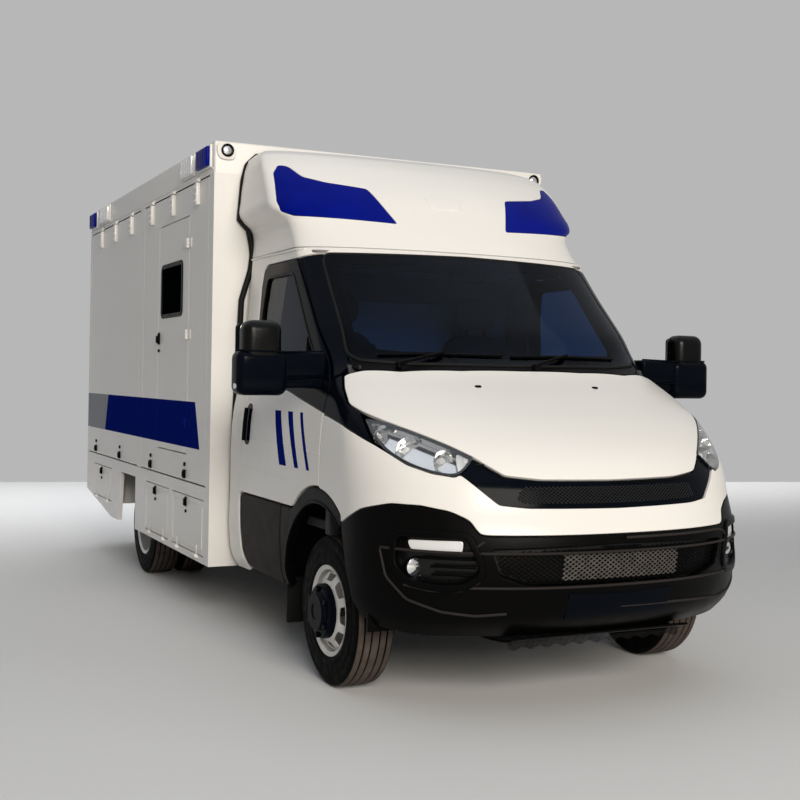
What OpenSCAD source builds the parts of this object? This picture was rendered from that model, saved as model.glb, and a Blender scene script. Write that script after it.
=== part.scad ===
// Box-body ambulance on a cab-chassis van: front is -Y, the ground is z = 0.
// Lengths along the van are counted from the front axle and moved to the origin at the end.

/* [Chassis] */
// Distance between the axles
wheelbase = 3450; // [3350:10:3550]
// Nose to front axle
front_overhang = 1000; // [980:5:1020]
// Rear axle to the end of the rear step
rear_overhang = 1720; // [1700:5:1760]
// Centre distance of the two frame rails
rail_spacing = 790; // [760:5:820]
// Width of a frame rail
rail_w = 70; // [60:1:80]
// Height of a frame rail
rail_h = 140; // [120:1:150]
// Top of the frame rails above the ground
rail_top = 700; // [690:1:710]

/* [Wheels] */
// Outer radius of the tyres
tyre_r = 349; // [335:1:352]
// Width of a tyre
tyre_w = 195; // [180:1:205]
// Radius of the tyre bead on the rim
bead_r = 203; // [200:1:206]
// Outer face of a front tyre from the middle of the van
front_face_x = 960; // [950:1:965]
// Outer face of the outer rear tyre from the middle of the van
rear_face_x = 997; // [990:1:1005]
// Space between twin tyres
twin_gap = 35; // [30:1:40]
// Kingpin from the middle of the van
kingpin_x = 700; // [690:1:705]
// Radius of the kingpin
kingpin_r = 20; // [16:1:22]
// Radius of a front stub axle
stub_r = 32; // [28:1:36]
// Radius of a rear axle end
axle_end_r = 40; // [36:1:44]

/* [Cab] */
// Width of the cab at the belt
cab_w = 2000; // [1960:5:2020]
// Thickness of the cab's outer panels
cab_skin = 26; // [22:1:30]
// Thickness of a cab door
door_t = 60; // [50:1:66]
// Back of the cab behind the front axle
cab_back_y = 1400; // [1390:5:1410]
// Front edge of the cab doors behind the front axle
door_front_y = 35; // [32:1:40]
// Rear edge of the cab doors behind the front axle
door_rear_y = 1195; // [1180:1:1200]
// Lower edge of the cab doors
door_low_z = 797; // [794:1:805]
// Upper edge of the cab doors
door_high_z = 2055; // [2045:1:2060]
// Top of the cab roof
cab_top_z = 2120; // [2115:1:2125]
// Radius of the front wheel arch
arch_r = 480; // [470:1:490]
// Radius of the hinge pins
pin_r = 5; // [4:0.5:6]

/* [Box body] */
// Width of the box body
box_w = 2210; // [2180:5:2240]
// Front of the box behind the front axle
box_front_y = 1455; // [1450:1:1470]
// Length of the box
box_l = 3581; // [3560:1:3600]
// Top of the box above the ground
box_top_z = 2796; // [2780:1:2820]
// Underside of the box floor
floor_z = 790; // [786:1:796]
// Thickness of the box floor
floor_t = 80; // [70:1:90]
// Thickness of the box walls and flaps
wall_t = 60; // [50:1:66]
// Height of the roof rail
roof_rail_h = 188; // [181:1:196]
// Lower edge of the skirts
skirt_z = 342; // [335:1:350]
// Thickness of the skirt panels
skirt_t = 30; // [26:1:34]
// Middle post between the side flaps, front edge
post_y = 3120; // [3110:1:3130]
// Middle post between the side flaps, width
post_w = 120; // [110:1:130]
// Side door, front edge
side_door_y = 1960; // [1950:1:1970]
// Side door, width
side_door_w = 730; // [700:1:740]
// Side door, lower edge
side_door_z = 960; // [950:1:970]
// Side door, upper edge below the roof rail
side_door_drop = 191; // [180:1:205]

/* [Clearances] */
// Shut gap around moving panels
gap = 6; // [5:0.5:7]
// Seam between fixed panels
seam = 0.3; // [0.2:0.05:0.4]
// Running clearance of pins and shafts
run = 0.05; // [0.03:0.01:0.08]
// Clearance of hinge pins in their barrels
pin_run = 0.3; // [0.2:0.05:0.35]

/* [Hidden] */
$fn = 48;
white = "white";
blue = "mediumblue";
black = "dimgray";
steel = "silver";

nose_y = -front_overhang;
length = front_overhang + wheelbase + rear_overhang;
axle_shift = front_overhang - length / 2;
tail_y = wheelbase + rear_overhang;
box_x = box_w / 2;
box_back_y = box_front_y + box_l;
wall_y = box_front_y + wall_t;
inner_x = box_x - wall_t;
rail_z = box_top_z - roof_rail_h;
side_door_h = rail_z - side_door_drop - side_door_z;
floor_top = floor_z + floor_t;
rail_x = rail_spacing / 2;
rail_low = rail_top - rail_h;
cab_x = cab_w / 2;
wheel_x = front_face_x - tyre_w / 2;
rear_outer_x = rear_face_x - tyre_w / 2;
twin_half = (tyre_w + twin_gap) / 2;
rear_inner_x = rear_outer_x - 2 * twin_half;
rail_end_y = tail_y - 180;
wide = 3000;

// Height of the straight band at each section
section_t = 0.6;
// Columns of the cab sections: height, set-back of the nose from the foremost point,
// set-back of the shoulder where the side turns straight, tuck of the side from the belt width
cab_sections = [
    [330, 200, 650, 70], [420, 70, 670, 20], [550, 15, 680, 0], [790, 0, 700, 0],
    [900, 50, 720, 0], [1030, 100, 750, 0], [1150, 220, 780, 5], [1250, 380, 830, 15],
    [1350, 580, 950, 35], [1480, 850, 1150, 70], [1700, 1060, 1340, 85],
    [1900, 1260, 1530, 100], [cab_top_z, 1480, 1716, 115]];
// The same columns for the roof fairing
fairing_sections = [
    [cab_top_z + seam + section_t, 1475, 1730, 120], [2200, 1535, 1800, 128], [2280, 1600, 1860, 115],
    [2340, 1650, 1910, 50], [2450, 1745, 2000, 45], [2550, 1855, 2080, 55],
    [2650, 1990, 2180, 75], [2700, 2080, 2250, 100], [2735, 2200, 2330, 150]];
nose_power = 2.4;
nose_step = 7.5;

function squash(a) = sign(a) * pow(abs(sin(a)), 2 / nose_power);
function half_width(s, inset) = cab_x - s[3] - inset;
function side_x(z) = cab_x - lookup(z, [for (s = cab_sections) [s[0], s[3]]]);
function outline(s, inset, back) =
    let (h = half_width(s, inset), tip = nose_y + s[1] + inset, turn = nose_y + s[2])
    concat([[h, back], [-h, back]],
        [for (a = [-90 : nose_step : 90]) [h * squash(a), turn - (turn - tip) * cos(a)]]);

module slice(s, inset, back)
    translate([0, 0, s[0] - inset - section_t])
        linear_extrude(section_t) polygon(outline(s, inset, back));
module loft(sections, inset, back)
    for (i = [0 : len(sections) - 2])
        hull() {
            slice(sections[i], inset, back);
            slice(sections[i + 1], inset, back);
        }
module cab_skin_solid(thick)
    difference() {
        loft(cab_sections, 0, cab_back_y);
        loft(cab_sections, thick, cab_back_y + 1);
    }
module fairing_skin()
    difference() {
        loft(fairing_sections, 0, box_front_y - seam);
        translate([0, 0, -seam]) loft(fairing_sections, cab_skin, box_front_y + 1);
    }

// Prisms from outlines in the side view, the front view and the plan
module side_prism(points, from, to)
    translate([from, 0, 0]) rotate([90, 0, 90]) linear_extrude(to - from) polygon(points);
module side_shape(from, to)
    translate([from, 0, 0]) rotate([90, 0, 90]) linear_extrude(to - from) children();
module front_shape(from, to)
    translate([0, to, 0]) rotate([90, 0, 0]) linear_extrude(to - from) children();
module block(low, high) translate(low) cube(high - low);
module both() {
    children();
    mirror([1, 0, 0]) children();
}
module van() translate([0, axle_shift, 0]) children();
module rod_x(x0, x1, r) translate([x0, 0, 0]) rotate([0, 90, 0]) cylinder(h = x1 - x0, r = r);
module rod_y(y0, y1, r) translate([0, y1, 0]) rotate([90, 0, 0]) cylinder(h = y1 - y0, r = r);

// Outlines of the cab's panels, front view of one half: x, z
lamp_points = [[926, 1258], [863, 1250], [759, 1199], [670, 1152], [601, 1109], [641, 1064],
    [694, 1027], [777, 1041], [851, 1073], [907, 1128], [930, 1201]];
grille_points = [[-1, 896], [430, 902], [545, 914], [610, 974], [675, 1038], [641, 1064],
    [601, 1109], [565, 1079], [503, 1035], [349, 1018], [-1, 1013]];
hood_points = [[-1, 1013], [349, 1018], [503, 1035], [565, 1079], [601, 1109], [670, 1152],
    [759, 1199], [863, 1250], [905, 1300], [908, 1373], [893, 1457], [893, 1560], [-1, 1560]];
glass_points = [[-1, 1505], [600, 1508], [800, 1520], [842, 1550], [800, 2060], [770, 2088],
    [-1, 2100]];
// Rear edge of the hood in plan: x, y
hood_rear = [[0, -141], [340, -133], [643, -91], [808, -17], [960, 20]];
// Side view of the bumper's upper and rear edge: y, z
bumper_points = [[nose_y - 10, 300], [nose_y - 10, 792], [-868, 798], [-828, 855], [-773, 888],
    [-685, 907], [-575, 908], [-419, 872], [-237, 778], [-300, 630], [-351, 461], [-370, 300]];
// Lower air intake and fog lamps, front view of one half: x, z
intake_points = [[-1, 560], [430, 560], [560, 620], [600, 735], [-1, 742]];
fog_at = [862, 652];
fog_r = 46;
// Mesh of the grilles: spacing across and up, size of a hole
mesh_x = 62;
mesh_z = 45;
mesh_hole = [44, 24];
arch_y = 60;
arch_z = 420;
// Side view of a cab door: y, z
door_points = [[door_front_y, door_low_z], [door_front_y, 1405], [60, 1430], [655, door_high_z - 10],
    [690, door_high_z], [1120, door_high_z], [1170, 2030], [door_rear_y, 1940],
    [door_rear_y, door_low_z]];
window_points = [[190, 1400], [690, 1965], [720, 1985], [1080, 1985], [1105, 1965], [1140, 1800],
    [1145, 1400]];
door_arch_r = arch_r + 50;

module mirrored_shape() {
    children();
    mirror([1, 0]) children();
}
module hood_front(grow)
    offset(delta = grow) mirrored_shape() polygon(hood_points);
module hood_plan(grow)
    offset(delta = grow)
        mirrored_shape() polygon(concat([[0, nose_y - 20]], hood_rear, [[960, nose_y - 20]]));
module hood_zone(grow)
    intersection() {
        front_shape(nose_y - 20, 200) hood_front(grow);
        translate([0, 0, 900]) linear_extrude(800) hood_plan(grow);
    }
module lamp_zone(grow)
    front_shape(nose_y - 20, 0) offset(delta = grow) mirrored_shape() polygon(lamp_points);
module grille_zone(grow)
    front_shape(nose_y - 20, -500) offset(delta = grow) mirrored_shape() polygon(grille_points);
module glass_zone(grow)
    front_shape(-300, 900) offset(delta = grow) mirrored_shape() polygon(glass_points);
module bumper_zone(grow)
    side_shape(-wide, wide) offset(delta = grow) polygon(bumper_points);
module door_shape(grow)
    difference() {
        offset(delta = grow) polygon(door_points);
        translate([arch_y, arch_z]) circle(r = door_arch_r - grow);
    }
module arch_cut()
    side_shape(-wide, wide) translate([arch_y, arch_z]) circle(r = arch_r);

// Side wall of the cab between two depths under its surface, as far as it runs straight
function wall_line(inset) =
    [for (s = cab_sections) if (s[0] > 500) [half_width(s, inset), s[0]]];
module cab_wall(y0, y1, near, far)
    front_shape(y0, y1)
        polygon(concat(wall_line(near),
            [for (i = [len(wall_line(far)) - 1 : -1 : 0]) wall_line(far)[i]]));

// Hinges: barrels along z, fixed and moving thirds on one pin
barrel_r = 11;
barrel_l = 60;
third = barrel_l / 3;
module pin_z(at)
    translate(at) {
        cylinder(h = barrel_l, r = pin_r, center = true);
        for (k = [-1, 1])
            translate([0, 0, k * third]) cylinder(h = third - 1, r = barrel_r, center = true);
    }
module barrel_z(at)
    translate(at) difference() {
        cylinder(h = third - 0.6, r = barrel_r, center = true);
        cylinder(h = third, r = pin_r + pin_run, center = true);
    }

// Cab door hinges sit at the outer surface in the gap between fender and door
hinge_zs = [900, 1180];
hinge_x = cab_x - 13;
hinge_y = door_front_y - gap - 12;
module hinge_pockets(grow)
    for (z = hinge_zs)
        both() block([hinge_x - 60, hinge_y - barrel_r - grow, z - barrel_l / 2 - grow],
            [cab_x + 20, door_front_y + 1, z + barrel_l / 2 + grow]);

// Hood hinges at the feet of the windscreen pillars
hood_axis_y = 50;
hood_axis_z = 1490;
hood_hinge_x = 838;
hood_hinge_l = 40;
module hood_pockets()
    both() block([hood_hinge_x - 45, -40, 1380], [hood_hinge_x + 45, hood_axis_y + 32, 1580]);

// Front edges of the members between the rails and of the bearers under the box
gearbox_member_y = 1150;
member_ys = [nose_y + 220, 720, gearbox_member_y, 2000, wheelbase - 550, wheelbase + 550, rail_end_y - 90];
member_w = 70;
bearer_ys = [wall_y + 125, 2500, wheelbase - 400, wheelbase + 410, rail_end_y - 290];
bearer_x = 700;
bearer_w = 60;
module chassis_frame() color(black) van() {
    both() block([rail_x - rail_w / 2, nose_y + 120, rail_low],
        [rail_x + rail_w / 2, rail_end_y, rail_top]);
    for (y = member_ys)
        block([-rail_x, y, rail_low + 30], [rail_x, y + member_w, rail_top - 30]);
    for (y = bearer_ys)
        block([-bearer_x, y, rail_top], [bearer_x, y + bearer_w, floor_z - seam]);
}
module front_axle() color(black) van() {
    block([-455, -80, 300], [455, 80, 420]);
    both() {
        block([rail_x - rail_w / 2, -60, 420], [rail_x + rail_w / 2, 60, rail_low - seam]);
        for (z = [248, 428]) {
            block([400, -38, z], [kingpin_x, 38, z + 30]);
            translate([kingpin_x, 0, z]) cylinder(h = 30, r = 44);
        }
        block([400, -38, 248], [455, 38, 458]);
        translate([kingpin_x, 0, 248]) cylinder(h = 210, r = kingpin_r);
    }
}
module knuckle(side) mirror([side < 0 ? 1 : 0, 0, 0]) color(steel) van() difference() {
    union() {
        translate([kingpin_x, 0, 279]) cylinder(h = 148, r = 40);
        translate([0, 0, tyre_r]) rod_x(kingpin_x + 24, wheel_x + 55, stub_r);
        translate([kingpin_x, -20, 300]) block([-30, -150, 0], [10, 0, 24]);
    }
    translate([kingpin_x, 0, 270]) cylinder(h = 170, r = kingpin_r + run);
}
// Half of the tyre's profile: radius, distance from its middle plane
tyre_half = tyre_w / 2;
tyre_profile = [[bead_r + seam, tyre_half - 11.5], [bead_r + 25, tyre_half], [tyre_r - 31, tyre_half],
    [tyre_r - 9, tyre_half - 8.5], [tyre_r, tyre_half - 25.5]];
module tyre(x, y)
    translate([x, y, tyre_r]) rotate([0, 90, 0]) rotate_extrude()
        polygon(concat(tyre_profile,
            [for (i = [len(tyre_profile) - 1 : -1 : 0]) [tyre_profile[i][0], -tyre_profile[i][1]]]));
// Rim with its disc at a place across its width, the hub bored for the shaft
rim_half = tyre_half - 11;
flange_r = bead_r + 9;
barrel_in_r = bead_r - 14;
disc_r = bead_r - 10;
hub_r = 78;
hub_tip_r = 64;
hole_r = 24;
hole_ring_r = 148;
hole_step = 36;
module turned(points) rotate([0, 90, 0]) rotate_extrude() polygon(points);
module rim(x, y, disc, shaft_r, hub_from, hub_to)
    translate([x, y, tyre_r]) difference() {
        union() {
            turned([[barrel_in_r, -rim_half], [flange_r, -rim_half - 9], [flange_r, -rim_half - 5],
                [bead_r, -rim_half - 0.5], [bead_r, rim_half + 0.5], [flange_r, rim_half + 5],
                [flange_r, rim_half + 9], [barrel_in_r, rim_half]]);
            turned([[shaft_r + run, disc - 6], [disc_r, disc - 16], [disc_r, disc - 4],
                [shaft_r + run, disc + 6]]);
            turned([[shaft_r + run, hub_from], [hub_r, hub_from], [hub_tip_r, hub_to],
                [shaft_r + run, hub_to]]);
        }
        for (a = [0 : hole_step : 359])
            rotate([a, 0, 0]) translate([0, 0, hole_ring_r]) rod_x(disc - 40, disc + 40, hole_r);
    }
module front_tyre(side) mirror([side < 0 ? 1 : 0, 0, 0]) color("black") van() tyre(wheel_x, 0);
module front_rim(side) mirror([side < 0 ? 1 : 0, 0, 0]) color(steel) van() {
    rim(wheel_x, 0, 58, stub_r, 4, 52);
    translate([wheel_x, 0, tyre_r]) rod_x(62, 95, 66);
}
module rear_tyres(side) mirror([side < 0 ? 1 : 0, 0, 0]) color("black") van() {
    tyre(rear_outer_x, wheelbase);
    tyre(rear_inner_x, wheelbase);
}
module rear_rims(side) mirror([side < 0 ? 1 : 0, 0, 0]) color(steel) van() {
    rim(rear_outer_x, wheelbase, -70, axle_end_r, -twin_half - 1, -10);
    rim(rear_inner_x, wheelbase, 70, axle_end_r, 20, twin_half + 1);
}
// Rear axle: tubes with the differential housing in the middle, leaf packs and their hangers
axle_r = 62;
diff_r = 150;
diff_w = 160;
shaft_r = 45;
shaft_y = 1900;
leaf_l = 640;
leaf_step = 150;
leaf_t = 16;
leaf_z = 56;
hanger_l = 60;
module rear_axle() color(black) van() translate([0, wheelbase, tyre_r]) {
    tube_x = rear_inner_x - 110;
    end_x = rear_outer_x - 20;
    turned([[0, -end_x], [axle_end_r, -end_x], [axle_end_r, -tube_x], [axle_r, -tube_x],
        [axle_r, -diff_w], [diff_r, -diff_w / 2], [diff_r, diff_w / 2], [axle_r, diff_w],
        [axle_r, tube_x], [axle_end_r, tube_x], [axle_end_r, end_x], [0, end_x]]);
    rod_y(-shaft_y, -axle_r, shaft_r);
    both() for (k = [0 : 2])
        block([rail_x - rail_w / 2, leaf_step * k - leaf_l, leaf_z + leaf_t * k],
            [rail_x + rail_w / 2, leaf_l - leaf_step * k, leaf_z + leaf_t * (k + 1)]);
    both() for (y = [-leaf_l, leaf_l - hanger_l])
        block([rail_x - rail_w / 2, y, leaf_z + leaf_t / 2],
            [rail_x + rail_w / 2, y + hanger_l, rail_low - tyre_r - seam]);
}
module engine() color(steel) van() {
    block([-270, -600, 470], [270, 0, 1130]);
    block([-190, 0, 470], [190, 640, 690]);
    block([-330, -690, 480], [330, -640, 985]);
    for (z = [500, 900]) block([-200, -640, z], [200, -600, z + 40]);
    both() block([270, -420, rail_top - 60], [rail_x - rail_w / 2 - seam, -300, rail_top - 10]);
    block([-120, 640, 520], [120, gearbox_member_y - seam, 560]);
}
module tank_and_exhaust() color(black) van() {
    block([480, 1650, 400], [760, 2450, 680]);
    both() for (y = [1750, 2330])
        block([rail_x + rail_w / 2 + seam, y, 640], [480, y + 40, 680]);
    block([-640, 1700, 400], [-440, 2400, 560]);
    translate([-540, 0, 480]) rod_y(700, 1700, 32);
    translate([-540, 0, 480]) rod_y(2400, 2780, 32);
    block([-560, 1770, 560], [-480, 1790, 680]);
}

// Cab floor, walls across it and the opening to the box
cab_floor_top = rail_top + 46;
cab_floor_x = 925;
wall_x = 870;
fire_wall_top = 1350;
back_wall_t = 35;
pass_x = 420;
pass_z = [1000, 1900];
module cab_frame() color(white) van() {
    block([-cab_floor_x, door_front_y, rail_top + seam], [cab_floor_x, cab_back_y, cab_floor_top]);
    block([-wall_x, 0, rail_top + seam], [wall_x, door_front_y, fire_wall_top]);
    difference() {
        block([-wall_x, cab_back_y - back_wall_t, rail_top], [wall_x, cab_back_y, cab_top_z - 60]);
        block([-pass_x, cab_back_y - back_wall_t - 1, pass_z[0]], [pass_x, cab_back_y + 1, pass_z[1]]);
    }
    both() {
        block([900, -30, rail_top + seam], [cab_x - cab_skin - seam, door_front_y - gap, 1000]);
        block([860, -30, rail_top + seam], [905, door_front_y - gap, 1330]);
        block([860, door_arch_r, sill_z], [cab_floor_x, cab_back_y, cab_floor_top]);
        intersection() {
            cab_wall(door_rear_y + gap, cab_back_y, 0, 150);
            block([700, door_rear_y, door_low_z - gap], [1100, cab_back_y + 1, door_high_z + gap - seam]);
        }
        for (z = hinge_zs) {
            pin_z([hinge_x, hinge_y, z]);
            for (k = [-1, 1])
                block([900, hinge_y - 8, z + k * third - 9], [hinge_x, hinge_y + 8, z + k * third + 9]);
        }
        block([hood_hinge_x - 36, 0, 1300], [hood_hinge_x - 24, hood_axis_y + 12, hood_axis_z + 10]);
        translate([0, hood_axis_y, hood_axis_z])
            rod_x(hood_hinge_x - 36, hood_hinge_x + hood_hinge_l / 2, pin_r);
    }
}
// Side view of a hood hinge arm, from its seat under the hood to the pin: y, z from the axis
arm_points = [[-170, -150], [-170, -125.5], [-52, -66.5], [-6, 8], [6, -8], [-30, -65], [-52, -92]];
module hood_hinges() color(black) van() both() translate([0, hood_axis_y, hood_axis_z]) difference() {
    union() {
        rod_x(hood_hinge_x - hood_hinge_l / 2, hood_hinge_x + hood_hinge_l / 2, barrel_r);
        side_prism(arm_points, hood_hinge_x - hood_hinge_l / 2, hood_hinge_x + hood_hinge_l / 2);
    }
    rod_x(hood_hinge_x - 60, hood_hinge_x + 60, pin_r + pin_run);
}
module hood() color(white) van() intersection() {
    cab_skin_solid(cab_skin);
    hood_zone(-gap / 2);
}
module fenders() color(white) van() difference() {
    intersection() {
        cab_skin_solid(cab_skin);
        block([-wide, nose_y - 20, 760], [wide, door_front_y - gap, 1455]);
    }
    hood_zone(gap / 2);
    lamp_zone(seam / 2);
    grille_zone(seam / 2);
    bumper_zone(seam / 2);
    arch_cut();
    hinge_pockets(gap);
    hood_pockets();
}
module bumper() color(black) van() difference() {
    intersection() {
        cab_skin_solid(cab_skin);
        bumper_zone(-seam / 2);
    }
    front_shape(nose_y - 20, -500) mirrored_shape() polygon(intake_points);
    front_shape(nose_y - 20, -300) mirrored_shape() translate(fog_at) circle(r = fog_r);
}
module grille() color(black) van() {
    difference() {
        intersection() {
            cab_skin_solid(cab_skin);
            grille_zone(-seam / 2);
        }
        front_shape(nose_y - 20, -500)
            for (i = [-6 : 6], k = [0 : 1])
                translate([i * mesh_x + k * mesh_x / 2, 935 + k * mesh_z]) square(mesh_hole, center = true);
    }
    difference() {
        intersection() {
            cab_skin_solid(cab_skin);
            front_shape(nose_y - 20, -500) offset(delta = -seam) mirrored_shape()
                polygon(intake_points);
        }
        front_shape(nose_y - 20, -500)
            for (i = [-7 : 7], k = [0 : 2])
                translate([i * mesh_x + k * mesh_x / 2, 605 + k * mesh_z]) square(mesh_hole, center = true);
    }
}
module clear_lamps() color("lightgray") van() {
    intersection() {
        cab_skin_solid(cab_skin);
        lamp_zone(-seam / 2);
    }
    intersection() {
        cab_skin_solid(cab_skin);
        front_shape(nose_y - 20, -300) mirrored_shape() translate(fog_at) circle(r = fog_r - seam);
    }
    side_lamps([[box_front_y + 382, 271], [box_back_y - 780, 305]]);
    both() block([box_x - 118, box_front_y - 22, box_top_z - 106],
        [box_x - 18, box_front_y - seam, box_top_z - 10]);
}
// Lamps along the roof rail: front edge, length
module side_lamps(places)
    for (p = places)
        both() block([box_x + seam, p[0], rail_z + 24], [box_x + 22, p[0] + p[1], box_top_z - 12]);
module windscreen() color("darkslategray") van() intersection() {
    cab_skin_solid(12);
    glass_zone(-seam / 2);
}
module cab_shell() color(white) van() difference() {
    intersection() {
        cab_skin_solid(cab_skin);
        block([-wide, -wide, 1455 + seam], [wide, wide, cab_top_z + 1]);
    }
    glass_zone(seam / 2);
    hood_zone(gap / 2);
    hood_pockets();
    side_shape(-wide, wide) offset(delta = gap) polygon(door_points);
    block([-wide, door_rear_y, 0], [wide, wide, door_high_z + gap]);
}
// Step under a cab door: outer panel, tread, end plates, hanger and mud flap
step_y = [560, 1200];
step_in_x = 720;
step_out_x = 990;
step_panel = 30;
step_z = 400;
hanger_x = [870, 920];
sill_z = rail_top - 60;
flap_x = [740, 955];
flap_z = [180, 612];
module cab_steps() color(black) van() both() {
    block([step_out_x - step_panel, step_y[0], step_z - step_panel],
        [step_out_x, step_y[1], door_low_z - gap]);
    block([step_in_x, step_y[0], step_z], [step_out_x, step_y[1], step_z + step_panel]);
    for (y = [step_y[0], step_y[1] - step_panel])
        block([step_in_x, y, step_z], [step_out_x, y + step_panel, sill_z - seam]);
    block([hanger_x[0], step_y[0], sill_z - 40], [hanger_x[1], step_y[1], sill_z - seam]);
    block([flap_x[0], step_y[0] - 12, flap_z[0]], [flap_x[1], step_y[0] + 10, flap_z[1]]);
}
module cab_door(side) mirror([side < 0 ? 1 : 0, 0, 0]) color(white) van() {
    intersection() {
        cab_wall(0, cab_back_y, 0, door_t);
        side_shape(700, 1100) difference() {
            polygon(door_points);
            translate([arch_y, arch_z]) circle(r = door_arch_r);
            polygon(window_points);
        }
    }
    for (z = hinge_zs) {
        barrel_z([hinge_x, hinge_y, z]);
        block([hinge_x - 6, hinge_y + pin_r + 2, z - third / 2 + 0.5],
            [hinge_x + 6, door_front_y + 5, z + third / 2 - 0.5]);
    }
}
module door_glass(side) mirror([side < 0 ? 1 : 0, 0, 0]) color("darkslategray") van() intersection() {
    cab_wall(0, cab_back_y, 22, 30);
    side_shape(700, 1100) offset(delta = -seam) polygon(window_points);
}
// Mirror: middles of its corners, their radius, its depth, its glass and the arm to the door
mirror_x = [1185, 1340];
mirror_z = [1388, 1665];
mirror_r = 38;
mirror_y = [100, 250];
mirror_rim = 13;
mirror_glass_t = 6;
arm_y = [150, 235];
arm_z = [1430, 1480, 1552];
module mirror_face(inset, y0, y1)
    block([mirror_x[0] - mirror_r + inset, y0, mirror_z[0] - mirror_r + inset],
        [mirror_x[1] + mirror_r - inset, y1, mirror_z[1] + mirror_r - inset]);
module mirror_unit(side) mirror([side < 0 ? 1 : 0, 0, 0]) color(black) van() {
    difference() {
        hull() for (x = mirror_x, z = mirror_z)
            translate([x, 0, z]) rod_y(mirror_y[0], mirror_y[1], mirror_r);
        mirror_face(2 * mirror_rim, mirror_y[1] - mirror_rim, mirror_y[1] + 1);
    }
    mirror_face(2 * mirror_rim + 3, mirror_y[1] - mirror_rim, mirror_y[1] - mirror_rim + mirror_glass_t);
    front_shape(arm_y[0], arm_y[1])
        polygon(concat([for (z = arm_z) [side_x(z) + seam, z]],
            [[mirror_x[0] - 20, arm_z[2]], [mirror_x[0] - 20, arm_z[0]]]));
}
// Dash and seats: half widths, depths and heights
dash_x = 840;
dash_back_y = 380;
dash_z = [1040, 1295, 1360];
seat_x = [220, 700];
seat_y = [720, 1180];
seat_z = [960, 1090, 1700];
backrest_y = [1090, 1200];
seat_foot = 80;
module cab_interior() color(black) van() {
    block([-dash_x, door_front_y + seam, dash_z[0]], [dash_x, dash_back_y, dash_z[1]]);
    block([-dash_x, hood_axis_y + 20, dash_z[1] - 5], [dash_x, dash_back_y, dash_z[2]]);
    both() {
        block([seat_x[0], seat_y[0], seat_z[0]], [seat_x[1], seat_y[1], seat_z[1]]);
        block([seat_x[0], backrest_y[0], seat_z[1]], [seat_x[1], backrest_y[1], seat_z[2]]);
        block([seat_x[0] + seat_foot, seat_y[0] + 60, cab_floor_top + seam],
            [seat_x[1] - seat_foot, seat_y[1] - 60, seat_z[0]]);
    }
    steer_place() translate([0, 0, -260]) cylinder(h = 255, r = 26);
    steer_place() translate([0, 0, -20]) cylinder(h = 40, r = 9);
}
module steer_place() translate([430, 560, 1330]) rotate([-60, 0, 0]) children();
module steering_wheel() color(black) van() steer_place() difference() {
    union() {
        rotate_extrude() translate([205, 8]) circle(r = 15);
        cylinder(h = 16, r = 60);
        for (a = [0, 120, 240]) rotate([0, 0, a]) block([40, -16, 3], [205, 16, 13]);
    }
    translate([0, 0, -5]) cylinder(h = 30, r = 9 + run);
}

// Fairing lenses, front view of one half: x, z
lens_points = [[885, 2600], [860, 2640], [760, 2575], [445, 2475], [340, 2270], [800, 2335], [880, 2390]];
module lens_zone(grow)
    front_shape(0, 1300) offset(delta = grow) mirrored_shape() polygon(lens_points);
module roof_fairing() color(white) van() difference() {
    fairing_skin();
    lens_zone(seam / 2);
}
module blue_lamps() color(blue) van() {
    intersection() {
        fairing_skin();
        lens_zone(-seam / 2);
    }
    side_lamps([[box_front_y + 28, 268], [box_back_y - 296, 230]]);
}

// Side flaps on the right: front and rear edges, and hinges along y at shares of a flap's length
flap_ys = [[wall_y + 30 + gap, post_y - gap], [post_y + post_w + gap, box_back_y - wall_t - gap]];
hinge_shares = [[0.1356, 0.494, 0.844], [0.14, 0.451, 0.742]];
flap_hinge_ys = [for (k = [0, 1])
    [for (f = hinge_shares[k]) flap_ys[k][0] + f * (flap_ys[k][1] - flap_ys[k][0])]];
strap_t = 6;
strap_w = 56;
strap_l = 150;
flap_axis_x = -(box_x + strap_t + pin_r);
flap_axis_z = rail_z - gap / 2;
module flap_pin(y) translate([flap_axis_x, y, flap_axis_z]) {
    rod_y(-barrel_l / 2, barrel_l / 2, pin_r);
    for (k = [-1, 1]) translate([0, k * third, 0]) rod_y(-third / 2 + 0.5, third / 2 - 0.5, barrel_r);
}
module flap_barrel(y) translate([flap_axis_x, y, flap_axis_z]) difference() {
    rod_y(-third / 2 + 0.3, third / 2 - 0.3, barrel_r);
    rod_y(-third, third, pin_r + pin_run);
}
module box_roof() color(white) van() {
    difference() {
        block([-box_x, box_front_y, rail_z], [box_x, box_back_y, box_top_z]);
        block([-inner_x, wall_y, rail_z - 1], [inner_x, box_back_y - wall_t, box_top_z - wall_t]);
        for (ys = flap_hinge_ys, y = ys)
            translate([flap_axis_x, y, flap_axis_z]) rod_y(-third / 2 - 0.5, third / 2 + 0.5, barrel_r + 2);
    }
    for (ys = flap_hinge_ys, y = ys) {
        flap_pin(y);
        for (k = [-1, 1])
            block([-box_x - strap_t, y + k * third - third / 2 + 0.5, rail_z],
                [-box_x, y + k * third + third / 2 - 0.5, rail_z + 20]);
    }
}
module side_flap(y0, y1, ys) difference() {
    union() {
        block([-box_x, y0, floor_z + gap], [-inner_x, y1, rail_z - gap]);
        for (y = ys) block([-box_x - strap_t, y - strap_w / 2, rail_z - strap_l],
            [-box_x, y + strap_w / 2, rail_z - gap - barrel_r]);
        for (y = ys) block([-box_x - strap_t, y - third / 2 + 0.5, rail_z - 40],
            [-box_x, y + third / 2 - 0.5, flap_axis_z]);
        for (y = ys) flap_barrel(y);
    }
    for (y = ys) translate([flap_axis_x, y, flap_axis_z]) {
        rod_y(-third, third, pin_r + pin_run);
        for (k = [-1, 1]) translate([0, k * third, 0]) rod_y(-third / 2, third / 2, barrel_r + 1);
    }
}
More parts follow.
